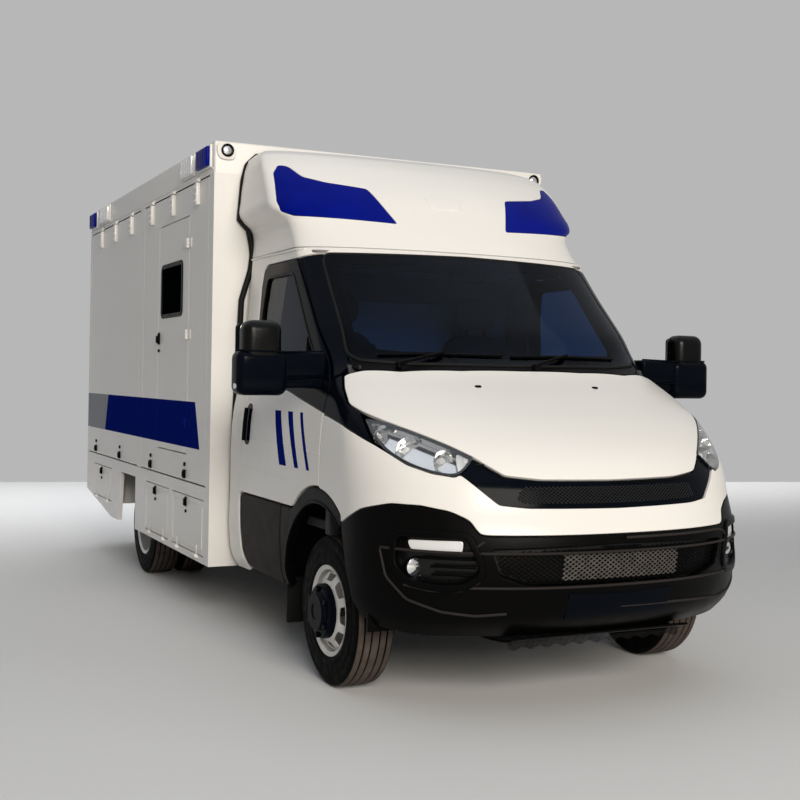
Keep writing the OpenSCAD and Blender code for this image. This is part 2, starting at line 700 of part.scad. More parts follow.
// Side door: hinges at shares of its height; its window: front edge, lower edge, width, height
side_hinge_shares = [0.1304, 0.501, 0.8854];
side_hinge_zs = [for (f = side_hinge_shares) side_door_z + f * side_door_h];
side_axis_x = -(box_x + strap_t + pin_r);
side_axis_y = side_door_y - gap / 2;
module side_flap_front() color(white) van() {
    difference() {
        side_flap(flap_ys[0][0], flap_ys[0][1], flap_hinge_ys[0]);
        block([-box_x - 1, side_door_y - gap, side_door_z - gap],
            [-inner_x + 1, side_door_y + side_door_w + gap, side_door_z + side_door_h + gap]);
    }
    for (z = side_hinge_zs) {
        pin_z([side_axis_x, side_axis_y, z]);
        for (k = [-1, 1])
            block([-box_x - strap_t, side_axis_y - 60, z + k * third - third / 2 + 0.5],
                [-box_x, side_axis_y - gap / 2, z + k * third + third / 2 - 0.5]);
    }
}
module side_flap_rear() color(white) van()
    side_flap(flap_ys[1][0], flap_ys[1][1], flap_hinge_ys[1]);
side_window = [side_door_y + 150, rail_z - 783, 500, 322];
module side_door() color(white) van() {
    difference() {
        block([-box_x, side_door_y, side_door_z],
            [-inner_x, side_door_y + side_door_w, side_door_z + side_door_h]);
        block([-box_x - 1, side_window[0], side_window[1]],
            [-inner_x + 1, side_window[0] + side_window[2], side_window[1] + side_window[3]]);
    }
    for (z = side_hinge_zs) {
        barrel_z([side_axis_x, side_axis_y, z]);
        block([-box_x - strap_t, side_axis_y + pin_r + 1, z - third / 2 + 0.5],
            [-box_x, side_axis_y + 70, z + third / 2 - 0.5]);
    }
}
module side_door_glass() color("black") van()
    block([-box_x + 20, side_window[0] + seam, side_window[1] + seam],
        [-box_x + 28, side_window[0] + side_window[2] - seam, side_window[1] + side_window[3] - seam]);

module box_floor() color(black) van()
    block([-inner_x + gap, wall_y + seam, floor_z], [box_x, box_back_y, floor_top]);
module box_front_wall() color(white) van() difference() {
    block([-box_x, box_front_y, skirt_z], [box_x, wall_y, rail_z - seam]);
    block([-740, box_front_y - 1, skirt_z - 1], [740, wall_y + 1, floor_z - 5]);
}
module box_wall_left() color(white) van()
    block([inner_x, wall_y + seam, floor_top + seam], [box_x, box_back_y - wall_t - seam, rail_z - seam]);

// Rear doors: hinges at shares of their height
rear_hinge_shares = [0.1036, 0.5063, 0.9091];
rear_hinge_zs = [for (f = rear_hinge_shares) floor_top + f * (rail_z - floor_top)];
rear_axis_x = inner_x + 3;
rear_axis_y = box_back_y + strap_t + pin_r;
module box_frame() color(white) van() {
    block([-box_x, wall_y + seam, floor_z], [-inner_x, wall_y + 30, rail_z - seam]);
    block([-box_x, post_y, floor_z], [-inner_x, post_y + post_w, rail_z - seam]);
    block([-box_x, box_back_y - wall_t, floor_z], [-inner_x, box_back_y, rail_z - seam]);
    block([inner_x, box_back_y - wall_t, floor_top + seam], [box_x, box_back_y, rail_z - seam]);
    both() for (z = rear_hinge_zs) {
        pin_z([rear_axis_x, rear_axis_y, z]);
        for (k = [-1, 1])
            block([rear_axis_x, box_back_y, z + k * third - third / 2 + 0.5],
                [rear_axis_x + 50, box_back_y + strap_t, z + k * third + third / 2 - 0.5]);
    }
    block([-inner_x, post_y + 20, floor_z + 20], [-inner_x + gap - seam, post_y + 100, floor_top]);
}
rear_window = [250, rail_z - 958, 560, 560];
module rear_door(side) mirror([side < 0 ? 1 : 0, 0, 0]) color(white) van() {
    difference() {
        block([gap, box_back_y - wall_t, floor_top + gap], [inner_x - gap, box_back_y, rail_z - gap]);
        block([rear_window[0], box_back_y - wall_t - 1, rear_window[1]],
            [rear_window[0] + rear_window[2], box_back_y + 1, rear_window[1] + rear_window[3]]);
    }
    for (z = rear_hinge_zs) {
        barrel_z([rear_axis_x, rear_axis_y, z]);
        block([rear_axis_x - 80, box_back_y, z - third / 2 + 0.5],
            [rear_axis_x - pin_r - 1, box_back_y + strap_t, z + third / 2 - 0.5]);
    }
}
module rear_glass(side) mirror([side < 0 ? 1 : 0, 0, 0]) color("black") van()
    block([rear_window[0] + seam, box_back_y - 28, rear_window[1] + seam],
        [rear_window[0] + rear_window[2] - seam, box_back_y - 20, rear_window[1] + rear_window[3] - seam]);

// Rear wheel opening and the slanted rear end of the skirts
wheel_front_y = wheelbase - 170;
wheel_rear_y = wheelbase + 340;
rear_span = box_back_y - wheel_rear_y;
rear_cut_share = 0.22472;
rear_cut_y = wheel_rear_y + rear_cut_share * rear_span;
rear_cut_z = 480;
// Lockers on the right: start and width as shares of the skirt ahead of and behind the wheel
front_locker_y = wall_y + 41;
front_span = wheel_front_y - front_locker_y;
front_locker_share = 0.41647;
middle_start_share = 0.46404;
middle_locker_share = 0.35905;
rear_locker_share = 0.54575;
// Columns of the lockers: front edge, width, lower edge; all have one upper edge
lockers = [[front_locker_y, front_locker_share * front_span, 380],
    [front_locker_y + middle_start_share * front_span, middle_locker_share * front_span, 380],
    [rear_cut_y, rear_locker_share * rear_span, 455]];
locker_top = 712;
locker_depth = 340;
locker_wall = 15;
function locker_axis_z(k) = lockers[k][2] - gap / 2;
module skirt_panel() {
    block([-box_x, wall_y + seam, skirt_z], [-box_x + skirt_t, wheel_front_y, floor_z - gap / 2]);
    side_prism([[wheel_rear_y - 40, floor_z - gap / 2], [wheel_rear_y + 40, skirt_z], [rear_cut_y, skirt_z],
        [box_back_y, rear_cut_z], [box_back_y, floor_z - gap / 2]], -box_x, -box_x + skirt_t);
    block([-box_x, wheel_front_y - 200, 712], [-box_x + skirt_t, wheel_rear_y, floor_z - gap / 2]);
    for (s = [[wall_y + seam, wheel_front_y - 200], [wheel_rear_y + 100, box_back_y]])
        block([-box_x, s[0], floor_z - 30], [-inner_x + 60, s[1], floor_z - gap / 2]);
    for (s = [[wall_y + seam, wheel_front_y - 200], [wheel_rear_y + 100, box_back_y]])
        block([-inner_x + 20, s[0], floor_z - 30], [-inner_x + 60, s[1], floor_z - seam]);
}
module skirts() color(white) van() {
    difference() {
        union() {
            skirt_panel();
            for (l = lockers)
                block([-box_x, l[0] - locker_wall, l[2] - locker_wall],
                    [-box_x + locker_depth, l[0] + l[1] + locker_wall, locker_top + locker_wall]);
        }
        for (l = lockers)
            block([-box_x - 1, l[0], l[2]], [-box_x + locker_depth - locker_wall, l[0] + l[1], locker_top]);
        for (k = [0 : 2], f = [0.2, 0.8])
            translate([flap_axis_x, lockers[k][0] + f * lockers[k][1], locker_axis_z(k)])
                rod_y(-third / 2 - 0.5, third / 2 + 0.5, barrel_r + 2);
    }
    for (k = [0 : 2], f = [0.2, 0.8])
        translate([flap_axis_x, lockers[k][0] + f * lockers[k][1], locker_axis_z(k)]) {
            rod_y(-barrel_l / 2, barrel_l / 2, pin_r);
            for (m = [-1, 1]) translate([0, m * third, 0]) {
                rod_y(-third / 2 + 0.5, third / 2 - 0.5, barrel_r);
                block([pin_r, -third / 2 + 0.5, -14], [pin_r + strap_t, third / 2 - 0.5, -4]);
            }
        }
    mirror([1, 0, 0]) skirt_panel();
    difference() {
        block([-box_x + skirt_t, box_back_y - skirt_t, rear_cut_z],
            [box_x - skirt_t, box_back_y, floor_z - seam]);
        block([-500, box_back_y - 50, rear_cut_z - 1], [500, box_back_y + 1, rail_top]);
    }
}
module locker_door(k) color(white) van() difference() {
    union() {
        block([-box_x, lockers[k][0] + gap, lockers[k][2] + gap],
            [-box_x + 25, lockers[k][0] + lockers[k][1] - gap, locker_top - gap]);
        for (f = [0.2, 0.8])
            translate([flap_axis_x, lockers[k][0] + f * lockers[k][1], locker_axis_z(k)]) {
                rod_y(-third / 2 + 0.3, third / 2 - 0.3, barrel_r);
                block([pin_r, -third / 2 + 0.5, 0], [pin_r + strap_t, third / 2 - 0.5, 60]);
            }
    }
    for (f = [0.2, 0.8])
        translate([flap_axis_x, lockers[k][0] + f * lockers[k][1], locker_axis_z(k)])
            rod_y(-third, third, pin_r + pin_run);
}
module tail_lamps() color("red") van() both() {
    block([box_x - 330, box_back_y + seam, 560], [box_x - 60, box_back_y + 24, 680]);
    block([box_x - 330, box_back_y + seam, box_top_z - 110], [box_x - 120, box_back_y + 24, box_top_z - 40]);
}
// Rear step: half width, depth, heights, openings in its tread and the hole for a towing pin
tread_x = 900;
tread_l = 104;
tread_z = [400, 440];
tread_step = 190;
tread_hole = [140, 48];
tow_r = 16;
tow_y = tail_y - 50;
module rear_step() color(black) van() difference() {
    union() {
        block([-tread_x, tail_y - tread_l, tread_z[0]], [tread_x, tail_y, tread_z[1]]);
        both() block([rail_x - rail_w / 2, rail_end_y + seam, tread_z[0]],
            [rail_x + rail_w / 2, tail_y - tread_l + 30, rail_top - 40]);
    }
    translate([0, tow_y, tread_z[0] - 1]) cylinder(h = 60, r = tow_r);
    for (i = [-4 : 4])
        if (abs(i) > 0) translate([i * tread_step, tail_y - tread_l / 2, tread_z[0] - 1])
            linear_extrude(60) square(tread_hole, center = true);
}

right = -1;
left = 1;

chassis_frame();
front_axle();
rear_axle();
engine();
tank_and_exhaust();
cab_frame();
cab_shell();
fenders();
windscreen();
grille();
clear_lamps();
bumper();
cab_steps();
cab_interior();
roof_fairing();
blue_lamps();
box_floor();
box_roof();
box_front_wall();
box_frame();
box_wall_left();
skirts();
tail_lamps();
rear_step();
knuckle(right);  // knuckle_right
knuckle(left);  // knuckle_left
front_tyre(right);  // front_tyre_right
front_tyre(left);  // front_tyre_left
front_rim(right);  // front_rim_right
front_rim(left);  // front_rim_left
rear_tyres(right);  // rear_tyres_right
rear_tyres(left);  // rear_tyres_left
rear_rims(right);  // rear_rims_right
rear_rims(left);  // rear_rims_left
hood();
hood_hinges();
cab_door(right);  // cab_door_right
cab_door(left);  // cab_door_left
door_glass(right);  // door_glass_right
door_glass(left);  // door_glass_left
mirror_unit(right);  // mirror_right
mirror_unit(left);  // mirror_left
side_flap_front();
side_flap_rear();
side_door();
side_door_glass();
rear_door(right);  // rear_door_right
rear_door(left);  // rear_door_left
rear_glass(right);  // rear_glass_right
rear_glass(left);  // rear_glass_left
locker_door(0);  // locker_door_front
locker_door(1);  // locker_door_middle
locker_door(2);  // locker_door_rear
steering_wheel();
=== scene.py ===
import math
from collections import namedtuple

import bmesh
import bpy
import numpy as np
from mathutils import Matrix, Vector
from mathutils.geometry import delaunay_2d_cdt


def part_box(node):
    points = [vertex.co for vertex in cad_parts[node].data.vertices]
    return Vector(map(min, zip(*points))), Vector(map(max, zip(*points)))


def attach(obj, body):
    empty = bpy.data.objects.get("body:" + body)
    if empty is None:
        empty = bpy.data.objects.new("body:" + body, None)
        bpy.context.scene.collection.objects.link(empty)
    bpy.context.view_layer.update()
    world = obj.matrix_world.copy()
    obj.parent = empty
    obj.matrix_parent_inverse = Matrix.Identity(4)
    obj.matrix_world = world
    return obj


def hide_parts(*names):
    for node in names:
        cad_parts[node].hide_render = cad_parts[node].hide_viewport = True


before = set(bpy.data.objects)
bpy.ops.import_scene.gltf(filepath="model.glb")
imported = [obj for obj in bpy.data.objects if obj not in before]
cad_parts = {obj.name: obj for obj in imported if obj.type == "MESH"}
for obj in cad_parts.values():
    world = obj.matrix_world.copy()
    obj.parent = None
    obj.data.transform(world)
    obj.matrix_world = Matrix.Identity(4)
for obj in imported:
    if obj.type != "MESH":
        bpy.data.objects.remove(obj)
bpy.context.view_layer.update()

# The van's own coordinates: metres, y counted rearward from the front axle, z from the ground
tyre_low, tyre_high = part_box("front_tyre_right")
AXLE = np.array([0.0, ((tyre_low + tyre_high) / 2).y, 0.0])
SIDES = ("right", "left")
SHARP = math.radians(35)
TINY = 0.0004

# Shapes are triples of points, faces and normals; normals are None where edges decide the shading


def unit(v):
    return v / np.maximum(np.linalg.norm(v, axis=-1, keepdims=True), 1e-12)


def merge(*shapes):
    points, faces, normals = [], [], []
    start = 0
    for p, f, n in shapes:
        points.append(np.asarray(p, float))
        faces.extend(tuple(i + start for i in face) for face in f)
        normals.append(n)
        start += len(p)
    joined = None if any(n is None for n in normals) else np.concatenate(normals)
    return np.concatenate(points), faces, joined


def mirrored(shape):
    flip = np.array([-1.0, 1.0, 1.0])
    faces = [tuple(reversed(f)) for f in shape[1]]
    return shape[0] * flip, faces, None if shape[2] is None else shape[2] * flip


def pair(shape):
    return merge(shape, mirrored(shape))


def facing(points, faces, normals):
    turned = []
    for f in faces:
        a, b, c = points[f[0]], points[f[1]], points[f[2]]
        along = np.dot(np.cross(b - a, c - a), normals[list(f)].mean(0))
        turned.append(f if along >= 0 else tuple(reversed(f)))
    return turned


def mark_sharp(mesh):
    bm = bmesh.new()
    bm.from_mesh(mesh)
    bmesh.ops.recalc_face_normals(bm, faces=bm.faces)
    for edge in bm.edges:
        if len(edge.link_faces) == 2:
            edge.smooth = edge.calc_face_angle() < SHARP
    bm.to_mesh(mesh)
    bm.free()


def piece(name, shape, body, look, *replaced):
    """A finished piece that rides on a body and stands for the replaced nodes."""
    points, faces, normals = shape
    if normals is not None:
        faces = facing(points, faces, normals)
    mesh = bpy.data.meshes.new(name)
    mesh.from_pydata((points + AXLE).tolist(), [], faces)
    if normals is None:
        mark_sharp(mesh)
    mesh.polygons.foreach_set("use_smooth", [True] * len(mesh.polygons))
    if normals is not None:
        mesh.normals_split_custom_set_from_vertices(unit(normals).tolist())
    mesh.materials.append(look.material)
    obj = bpy.data.objects.new(name, mesh)
    bpy.context.scene.collection.objects.link(obj)
    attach(obj, body)
    if replaced:
        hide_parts(*replaced)
    return obj


def fixed(name, shape, look, *replaced):
    return piece(name, shape, "chassis", look, *replaced)


def per_side(name, shape, body, look, *replaced):
    """A piece for each side, from the shape of the left one; {} stands for the side's name."""
    for side in SIDES:
        own = shape if side == "left" else mirrored(shape)
        piece(name.format(side), own, body.format(side), look, *[r.format(side) for r in replaced])


# Outlines in two dimensions


def mm(*rows):
    """Points in metres from a table in millimetres."""
    return [tuple(value / 1000 for value in row) for row in rows]


def lengths(points):
    return np.concatenate([[0], np.cumsum(np.linalg.norm(np.diff(points, axis=0), axis=1))])


def spaced(points, count, endpoint=True):
    run = lengths(points)
    at = np.linspace(0, run[-1], count, endpoint=endpoint)
    return np.stack([np.interp(at, run, column) for column in points.T], 1)


def resample(loop, step=0.012):
    ring = np.vstack([loop, loop[:1]])
    return spaced(ring, max(12, int(lengths(ring)[-1] / step)), False)


def polyline(points, step=0.02):
    points = np.asarray(points, float)
    return spaced(points, max(2, int(lengths(points)[-1] / step) + 1))


def closed(points, step=0.02):
    return polyline(points + points[:1], step)[:-1]


def chaikin(points, corners=(), rounds=3):
    points = [np.asarray(p, float) for p in points]
    sharp = [i in corners for i in range(len(points))]
    for _ in range(rounds):
        new, new_sharp = [], []
        for i, p in enumerate(points):
            before, after = points[i - 1], points[(i + 1) % len(points)]
            cut = [p] if sharp[i] else [0.25 * before + 0.75 * p, 0.75 * p + 0.25 * after]
            new.extend(cut)
            new_sharp.extend([sharp[i]] * len(cut))
        points, sharp = new, new_sharp
    return np.array(points)


def smooth(loop, step=0.012, corners=()):
    return resample(chaikin(loop, corners), step)


def round_rect(low, high, radius):
    turns = np.linspace(0, math.pi / 2, 5)
    loop = []
    for k, (right, top) in enumerate([(1, 1), (0, 1), (0, 0), (1, 0)]):
        centre = np.array([high[0] - radius if right else low[0] + radius,
                           high[1] - radius if top else low[1] + radius])
        for t in turns + k * math.pi / 2:
            loop.append(centre + radius * np.array([math.cos(t), math.sin(t)]))
    return np.array(loop)


def circle(centre, radius, count):
    t = np.linspace(0, 2 * math.pi, count, endpoint=False)
    return np.asarray(centre) + radius * np.stack([np.cos(t), np.sin(t)], 1)


def whole(*parts):
    """Outline from parts of its half at x >= 0, which starts and ends on the middle line."""
    points = [tuple(p) for part in parts for p in part]
    return np.array(points + [(-x, z) for x, z in reversed(points) if x > 1e-6])


def signed_area(loop):
    x, y = loop.T
    return 0.5 * np.sum(x * np.roll(y, -1) - np.roll(x, -1) * y)


def inside(points, loops):
    result = np.zeros(len(points), bool)
    for loop in loops:
        for p, q in zip(loop, np.roll(loop, -1, 0)):
            crosses = (p[1] > points[:, 1]) != (q[1] > points[:, 1])
            slope = (q[0] - p[0]) / (q[1] - p[1] if q[1] != p[1] else 1e-12)
            result ^= crosses & (points[:, 0] < p[0] + slope * (points[:, 1] - p[1]))
    return result


# Surfaces: functions from outline coordinates to points and outward normals


def plane(axis, place, outward):
    others = [k for k in range(3) if k != axis]

    def surface(uv):
        p, n = np.zeros((2, len(uv), 3))
        p[:, axis] = place
        p[:, others] = uv
        n[:, axis] = outward
        return p, n
    return surface


def sunk(surface, depth):
    """The same surface, sunk by a depth under its own skin."""
    def lower(uv):
        p, n = surface(uv)
        return p - n * depth, n
    return lower


POWER = 2.4
NOSE_Y = -1.0
CAB_HALF = 1.0
PLAN_LOW = 1.3
PLAN_HIGH = 1.7
ARC_ANGLES = np.linspace(0, math.pi / 2, 400)
ARC_LENGTHS = lengths(np.stack([np.sin(ARC_ANGLES) ** (2 / POWER), -0.5 * np.cos(ARC_ANGLES)], 1))
ARC = ARC_LENGTHS[-1]


def hermite(x, knots, values):
    slopes = np.gradient(values, knots)
    i = np.clip(np.searchsorted(knots, x) - 1, 0, len(knots) - 2)
    h = knots[i + 1] - knots[i]
    t = np.clip((x - knots[i]) / h, 0, 1)
    return ((1 + 2 * t) * (1 - t) ** 2 * values[i] + t * (1 - t) ** 2 * h * slopes[i]
            + t * t * (3 - 2 * t) * values[i + 1] + t * t * (t - 1) * h * slopes[i + 1])


class Loft:
    """Body skin through sections in mm: height, set-back of nose and of shoulder, tuck of the side."""

    def __init__(self, rows):
        table = np.array(rows) / 1000
        self.knots = table[:, 0]
        self.lines = NOSE_Y + table[:, 1], NOSE_Y + table[:, 2], CAB_HALF - table[:, 3]

    def section(self, z):
        return [hermite(z, self.knots, line) for line in self.lines]

    def points(self, uv):
        u, z = uv.T
        tip, turn, half = self.section(z)
        s = np.abs(u)
        a = np.interp(np.minimum(s, ARC), ARC_LENGTHS, ARC_ANGLES)
        x = np.sign(u) * half * np.sin(a) ** (2 / POWER)
        y = turn - (turn - tip) * np.cos(a) + np.maximum(s - ARC, 0)
        return np.stack([x, y, z], 1)

    def __call__(self, uv):
        uv = np.asarray(uv, float)
        e = 2e-3
        du = self.points(uv + [e, 0]) - self.points(uv - [e, 0])
        dv = self.points(uv + [0, e]) - self.points(uv - [0, e])
        return self.points(uv), unit(np.cross(du, dv))

    def from_front(self, points):
        x, z = np.asarray(points, float).T
        a = np.arcsin(np.clip(np.abs(x) / self.section(z)[2], 0, 1) ** (POWER / 2))
        return np.stack([np.sign(x) * np.interp(a, ARC_ANGLES, ARC_LENGTHS), z], 1)

    def from_side(self, points):
        y, z = np.asarray(points, float).T
        tip, turn, _ = self.section(z)
        a = np.arccos(np.clip((turn - y) / (turn - tip), 0, 1))
        return np.stack([np.interp(a, ARC_ANGLES, ARC_LENGTHS) + np.maximum(y - turn, 0), z], 1)

    def front(self, points, step=0.02):
        return self.from_front(polyline(points, step))

    def side(self, points):
        return self.from_side(polyline(points))

    def plan(self, points):
        """A line seen from above, between the two plan heights."""
        x, y = polyline(points).T
        lower, upper = np.full(len(x), PLAN_LOW), np.full(len(x), PLAN_HIGH)
        for _ in range(40):
            z = (lower + upper) / 2
            ahead = self.points(self.from_front(np.stack([x, z], 1)))[:, 1] < y
            lower, upper = np.where(ahead, z, lower), np.where(ahead, upper, z)
        return self.from_front(np.stack([x, (lower + upper) / 2], 1))

    def at(self, x, z):
        """The point of the skin that the front view shows at x and z."""
        return self(self.from_front([(x, z)]))[0][0]


# Panels: an outline with holes on a surface, with a rounded edge and a closed back


def strip(rows, count, ring=False):
    """Faces between rows of points, each row closed, and the rows closed where they make a ring."""
    faces = []
    for r in range(rows if ring else rows - 1):
        s = (r + 1) % rows
        for i in range(count):
            j = (i + 1) % count
            faces.append((r * count + i, r * count + j, s * count + j, s * count + i))
    return faces


def loop_frame(surface, loop, inward):
    p, n = surface(loop)
    tangent = unit(np.roll(p, -1, 0) - np.roll(p, 1, 0))
    e = 1e-3
    du = surface(loop + [e, 0])[0] - p
    dv = surface(loop + [0, e])[0] - p
    hand = np.sign(np.sum(np.cross(du, dv) * n))
    b = unit(np.cross(n, tangent)) * np.sign(signed_area(loop)) * hand * inward
    return p, n, b, du / e, dv / e


def inset_loop(edges, loop, distance):
    b, du, dv = edges[2:]
    steps = [np.linalg.lstsq(np.stack([du[k], dv[k]], 1), b[k] * distance,
                             rcond=None)[0] for k in range(len(loop))]
    return loop + np.array(steps)


def inset(surface, loop, distance):
    return inset_loop(loop_frame(surface, loop, 1), loop, distance)


NET_CLEAR = 0.45


def fill(loops, grid):
    """Triangles inside the loops, the first of them the outer one."""
    points = [p for loop in loops for p in loop]
    edges, start = [], 0
    for loop in loops:
        edges.extend((start + k, start + (k + 1) % len(loop)) for k in range(len(loop)))
        start += len(loop)
    if grid:
        low, high = loops[0].min(0), loops[0].max(0)
        net = np.stack(np.meshgrid(*[np.arange(low[k] + grid / 2, high[k], grid) for k in (0, 1)]),
                       -1).reshape(-1, 2)
        net = net[inside(net, loops)]
        far = np.min(np.linalg.norm(net[:, None] - np.array(points)[None], axis=2),
                     axis=1) > NET_CLEAR * grid
        points = points + list(net[far])
    verts, _, faces, origin, *_ = delaunay_2d_cdt([Vector(p) for p in points], edges, [], 0, 1e-7)
    flat = np.array([tuple(v) for v in verts])
    keep = inside(np.array([flat[list(f)].mean(0) for f in faces]), loops)
    place = {old: new for new, olds in enumerate(origin) for old in olds}
    return flat, [f for f, k in zip(faces, keep) if k], place


def panel(surface, outline, depth, radius, holes=(), grid=0.03):
    loops = [np.asarray(loop, float) for loop in (outline, *holes)]
    frames = [loop_frame(surface, loop, -1 if k else 1) for k, loop in enumerate(loops)]
    flat, faces, place = fill([inset_loop(f, loop, radius) for f, loop in zip(frames, loops)], grid)
    p, n = surface(flat)
    back = p - n * depth
    start = 0
    shapes = []
    for (rim, rim_n, b, *_), loop in zip(frames, loops):
        count = len(loop)
        rings, ring_normals = [], []
        for t in np.linspace(0, math.pi / 2, 5):
            rings.append(rim + b * radius * (1 - math.sin(t)) - rim_n * radius * (1 - math.cos(t)))
            ring_normals.append(rim_n * math.cos(t) - b * math.sin(t))
        rings.append(rim - rim_n * depth)
        ring_normals.append(-b)
        for i in range(count):
            where = place[start + i]
            rings[0][i] = p[where]
            back[where] = rings[-1][i]
        shapes.append((np.concatenate(rings), strip(len(rings), count), np.concatenate(ring_normals)))
        start += count
    return merge(*shapes, (p, faces, n), (back, faces, -n))


def block(low, high):
    low, high = np.asarray(low, float), np.asarray(high, float)
    bm = bmesh.new()
    bmesh.ops.create_cube(bm, size=1)
    for v in bm.verts:
        v.co = Vector((np.array(v.co) + 0.5) * (high - low) + low)
    return bm


def bevelled(bm, edges, radius, segments):
    bmesh.ops.bevel(bm, geom=edges, offset=radius, segments=segments, profile=0.5, affect="EDGES")
    bm.verts.index_update()
    points = np.array([tuple(v.co) for v in bm.verts])
    faces = [tuple(v.index for v in f.verts) for f in bm.faces]
    bm.free()
    return points, faces, None


def slab(low, high, radius=0.004, segments=3):
    """A block with rounded edges."""
    bm = block(low, high)
    return bevelled(bm, list(bm.edges), radius, segments)


POST_LEAST = 0.15


def hollow_lid(low, high, wall, radius):
    """A box open below, with rounded outer edges."""
    bm = block(low, high)
    under = min(bm.faces, key=lambda f: f.calc_center_median().z)
    bmesh.ops.inset_individual(bm, faces=[under], thickness=wall)
    bmesh.ops.translate(bm, verts=under.verts, vec=(0, 0, high[2] - low[2] - wall))
    upper = [e for e in bm.edges if all(v.co.z > low[2] + 1e-6 and v not in under.verts for v in e.verts)]
    posts = [e for e in bm.edges if abs(e.verts[0].co.z - e.verts[1].co.z) > POST_LEAST
             and all(abs(abs(v.co.x) - high[0]) < 1e-6 for v in e.verts)]
    return bevelled(bm, upper + posts, radius, 4)


def lathe(profile, centre, axis=0, count=64):
    """A profile of radius and place along an axis, turned round it."""
    profile = np.asarray(profile, float)
    t = np.linspace(0, 2 * math.pi, count, endpoint=False)
    first, second = [k for k in range(3) if k != axis]
    points = np.zeros((count, len(profile), 3))
    points[:, :, axis] = profile[:, 1]
    points[:, :, first] = np.cos(t)[:, None] * profile[:, 0]
    points[:, :, second] = np.sin(t)[:, None] * profile[:, 0]
    return points.reshape(-1, 3) + np.asarray(centre, float), strip(count, len(profile), True), None


def tube(path, radius, sides=10, ring=False):
    """A round bar along a line of points."""
    path = np.asarray(path, float)
    count = len(path)
    tangent = unit(np.roll(path, -1, 0) - np.roll(path, 1, 0) if ring else np.gradient(path, axis=0))
    up = np.array([0.0, 0.0, 1.0])
    if abs(tangent[0] @ up) > 0.9:
        up = np.array([0.0, 1.0, 0.0])
    t = np.linspace(0, 2 * math.pi, sides, endpoint=False)
    rows = []
    for at, ahead in zip(path, tangent):
        up = unit(up - ahead * (up @ ahead))
        rows.append(at + radius * (np.cos(t)[:, None] * up + np.sin(t)[:, None] * np.cross(ahead, up)))
    faces = strip(count, sides, ring)
    if not ring:
        faces += [tuple(reversed(range(sides))), tuple((count - 1) * sides + i for i in range(sides))]
    return np.concatenate(rows), faces, None


def rod(centre, axis, half, radius, count=24):
    """A round pin with a small chamfer."""
    edge = 0.1 * radius
    profile = [(TINY, -half), (radius - edge, -half), (radius, edge - half), (radius, half - edge),
               (radius - edge, half), (TINY, half)]
    return lathe(profile, centre, axis, count)


BARREL_R = 0.011
THIRD = 0.020
BARREL_GAP = 0.0006
MIDDLE = (0,)
ENDS = (-THIRD, THIRD)


def barrels(centre, axis, places):
    """Barrels of a hinge at places along its axis."""
    step = np.eye(3)[axis]
    return [rod(np.asarray(centre) + step * p, axis, THIRD / 2 - BARREL_GAP, BARREL_R) for p in places]


def pad(low, high, power=3.2, around=36, up=20):
    """A soft block: a rounded box whose faces bulge."""
    low, high = np.asarray(low, float), np.asarray(high, float)
    points = []
    for v in np.linspace(-math.pi / 2, math.pi / 2, up):
        for u in np.linspace(0, 2 * math.pi, around, endpoint=False):
            raw = np.array([math.cos(v) * math.cos(u), math.cos(v) * math.sin(u), math.sin(v)])
            points.append(raw / np.sum(np.abs(raw) ** power) ** (1 / power))
    return (np.array(points) + 1) / 2 * (high - low) + low, strip(up, around), None


def prism(profile, x0, x1, radius=0.004):
    """An outline in the side view, drawn out across the van."""
    return panel(plane(0, x1, 1), profile, x1 - x0, radius, grid=0)


def bar(surface, line, radius, ring=False):
    """A round bar that follows a line on a surface."""
    line = polyline(np.vstack([line, line[:1]]))[:-1] if ring else polyline(line)
    return tube(surface(line)[0], radius, 8, ring)


def ring_panel(surface, loop, outward, inward, depth, radius=0.002):
    """A frame of even width along a loop on a surface."""
    return panel(surface, inset(surface, loop, -outward), depth, radius, [inset(surface, loop, inward)], 0)


LATTICE_LEAN = 1.4


def lattice(surface, loop, pitch, radius):
    """Crossed bars inside a loop on a surface."""
    low, high = loop.min(0), loop.max(0)
    height = high[1] - low[1]
    t = np.linspace(0, 1, 60)
    shapes = []
    for lean in (-1, 1):
        for start in np.arange(low[0] - height, high[0] + height, pitch):
            line = np.stack([start + lean * t * height * LATTICE_LEAN, low[1] + t * height], 1)
            run = line[inside(line, [loop])]
            if len(run) > 3:
                shapes.append(tube(surface(run[::3])[0], radius, 6))
    return merge(*shapes)


def wall_strip(surface, loop, near, far):
    """The side wall of a recess along a loop, between two depths under a surface."""
    p, n = surface(loop)
    return np.concatenate([p - n * near, p - n * far]), strip(2, len(loop)), None


# Materials, all from noise in the object's own coordinates
Look = namedtuple("Look", "slot material")
MIX_FACTOR, MIX_FIRST, MIX_SECOND, MIX_RESULT = 0, 6, 7, 2
NOISE_LOW, NOISE_HIGH = 0.3, 0.7


def put(tree, socket, value):
    if isinstance(value, bpy.types.NodeSocket):
        tree.links.new(value, socket)
    else:
        socket.default_value = (*value, 1) if isinstance(value, tuple) else value


def node(tree, kind, inputs, output=0, **options):
    """Adds a node, whose inputs are numbers, colours or other nodes' outputs."""
    made = tree.nodes.new("ShaderNode" + kind)
    for key, value in options.items():
        setattr(made, key, value)
    for key, value in inputs.items():
        put(tree, made.inputs[key], value)
    return made.outputs[output]


def shade(colour, factor):
    return tuple(min(1.0, c * factor) for c in colour)


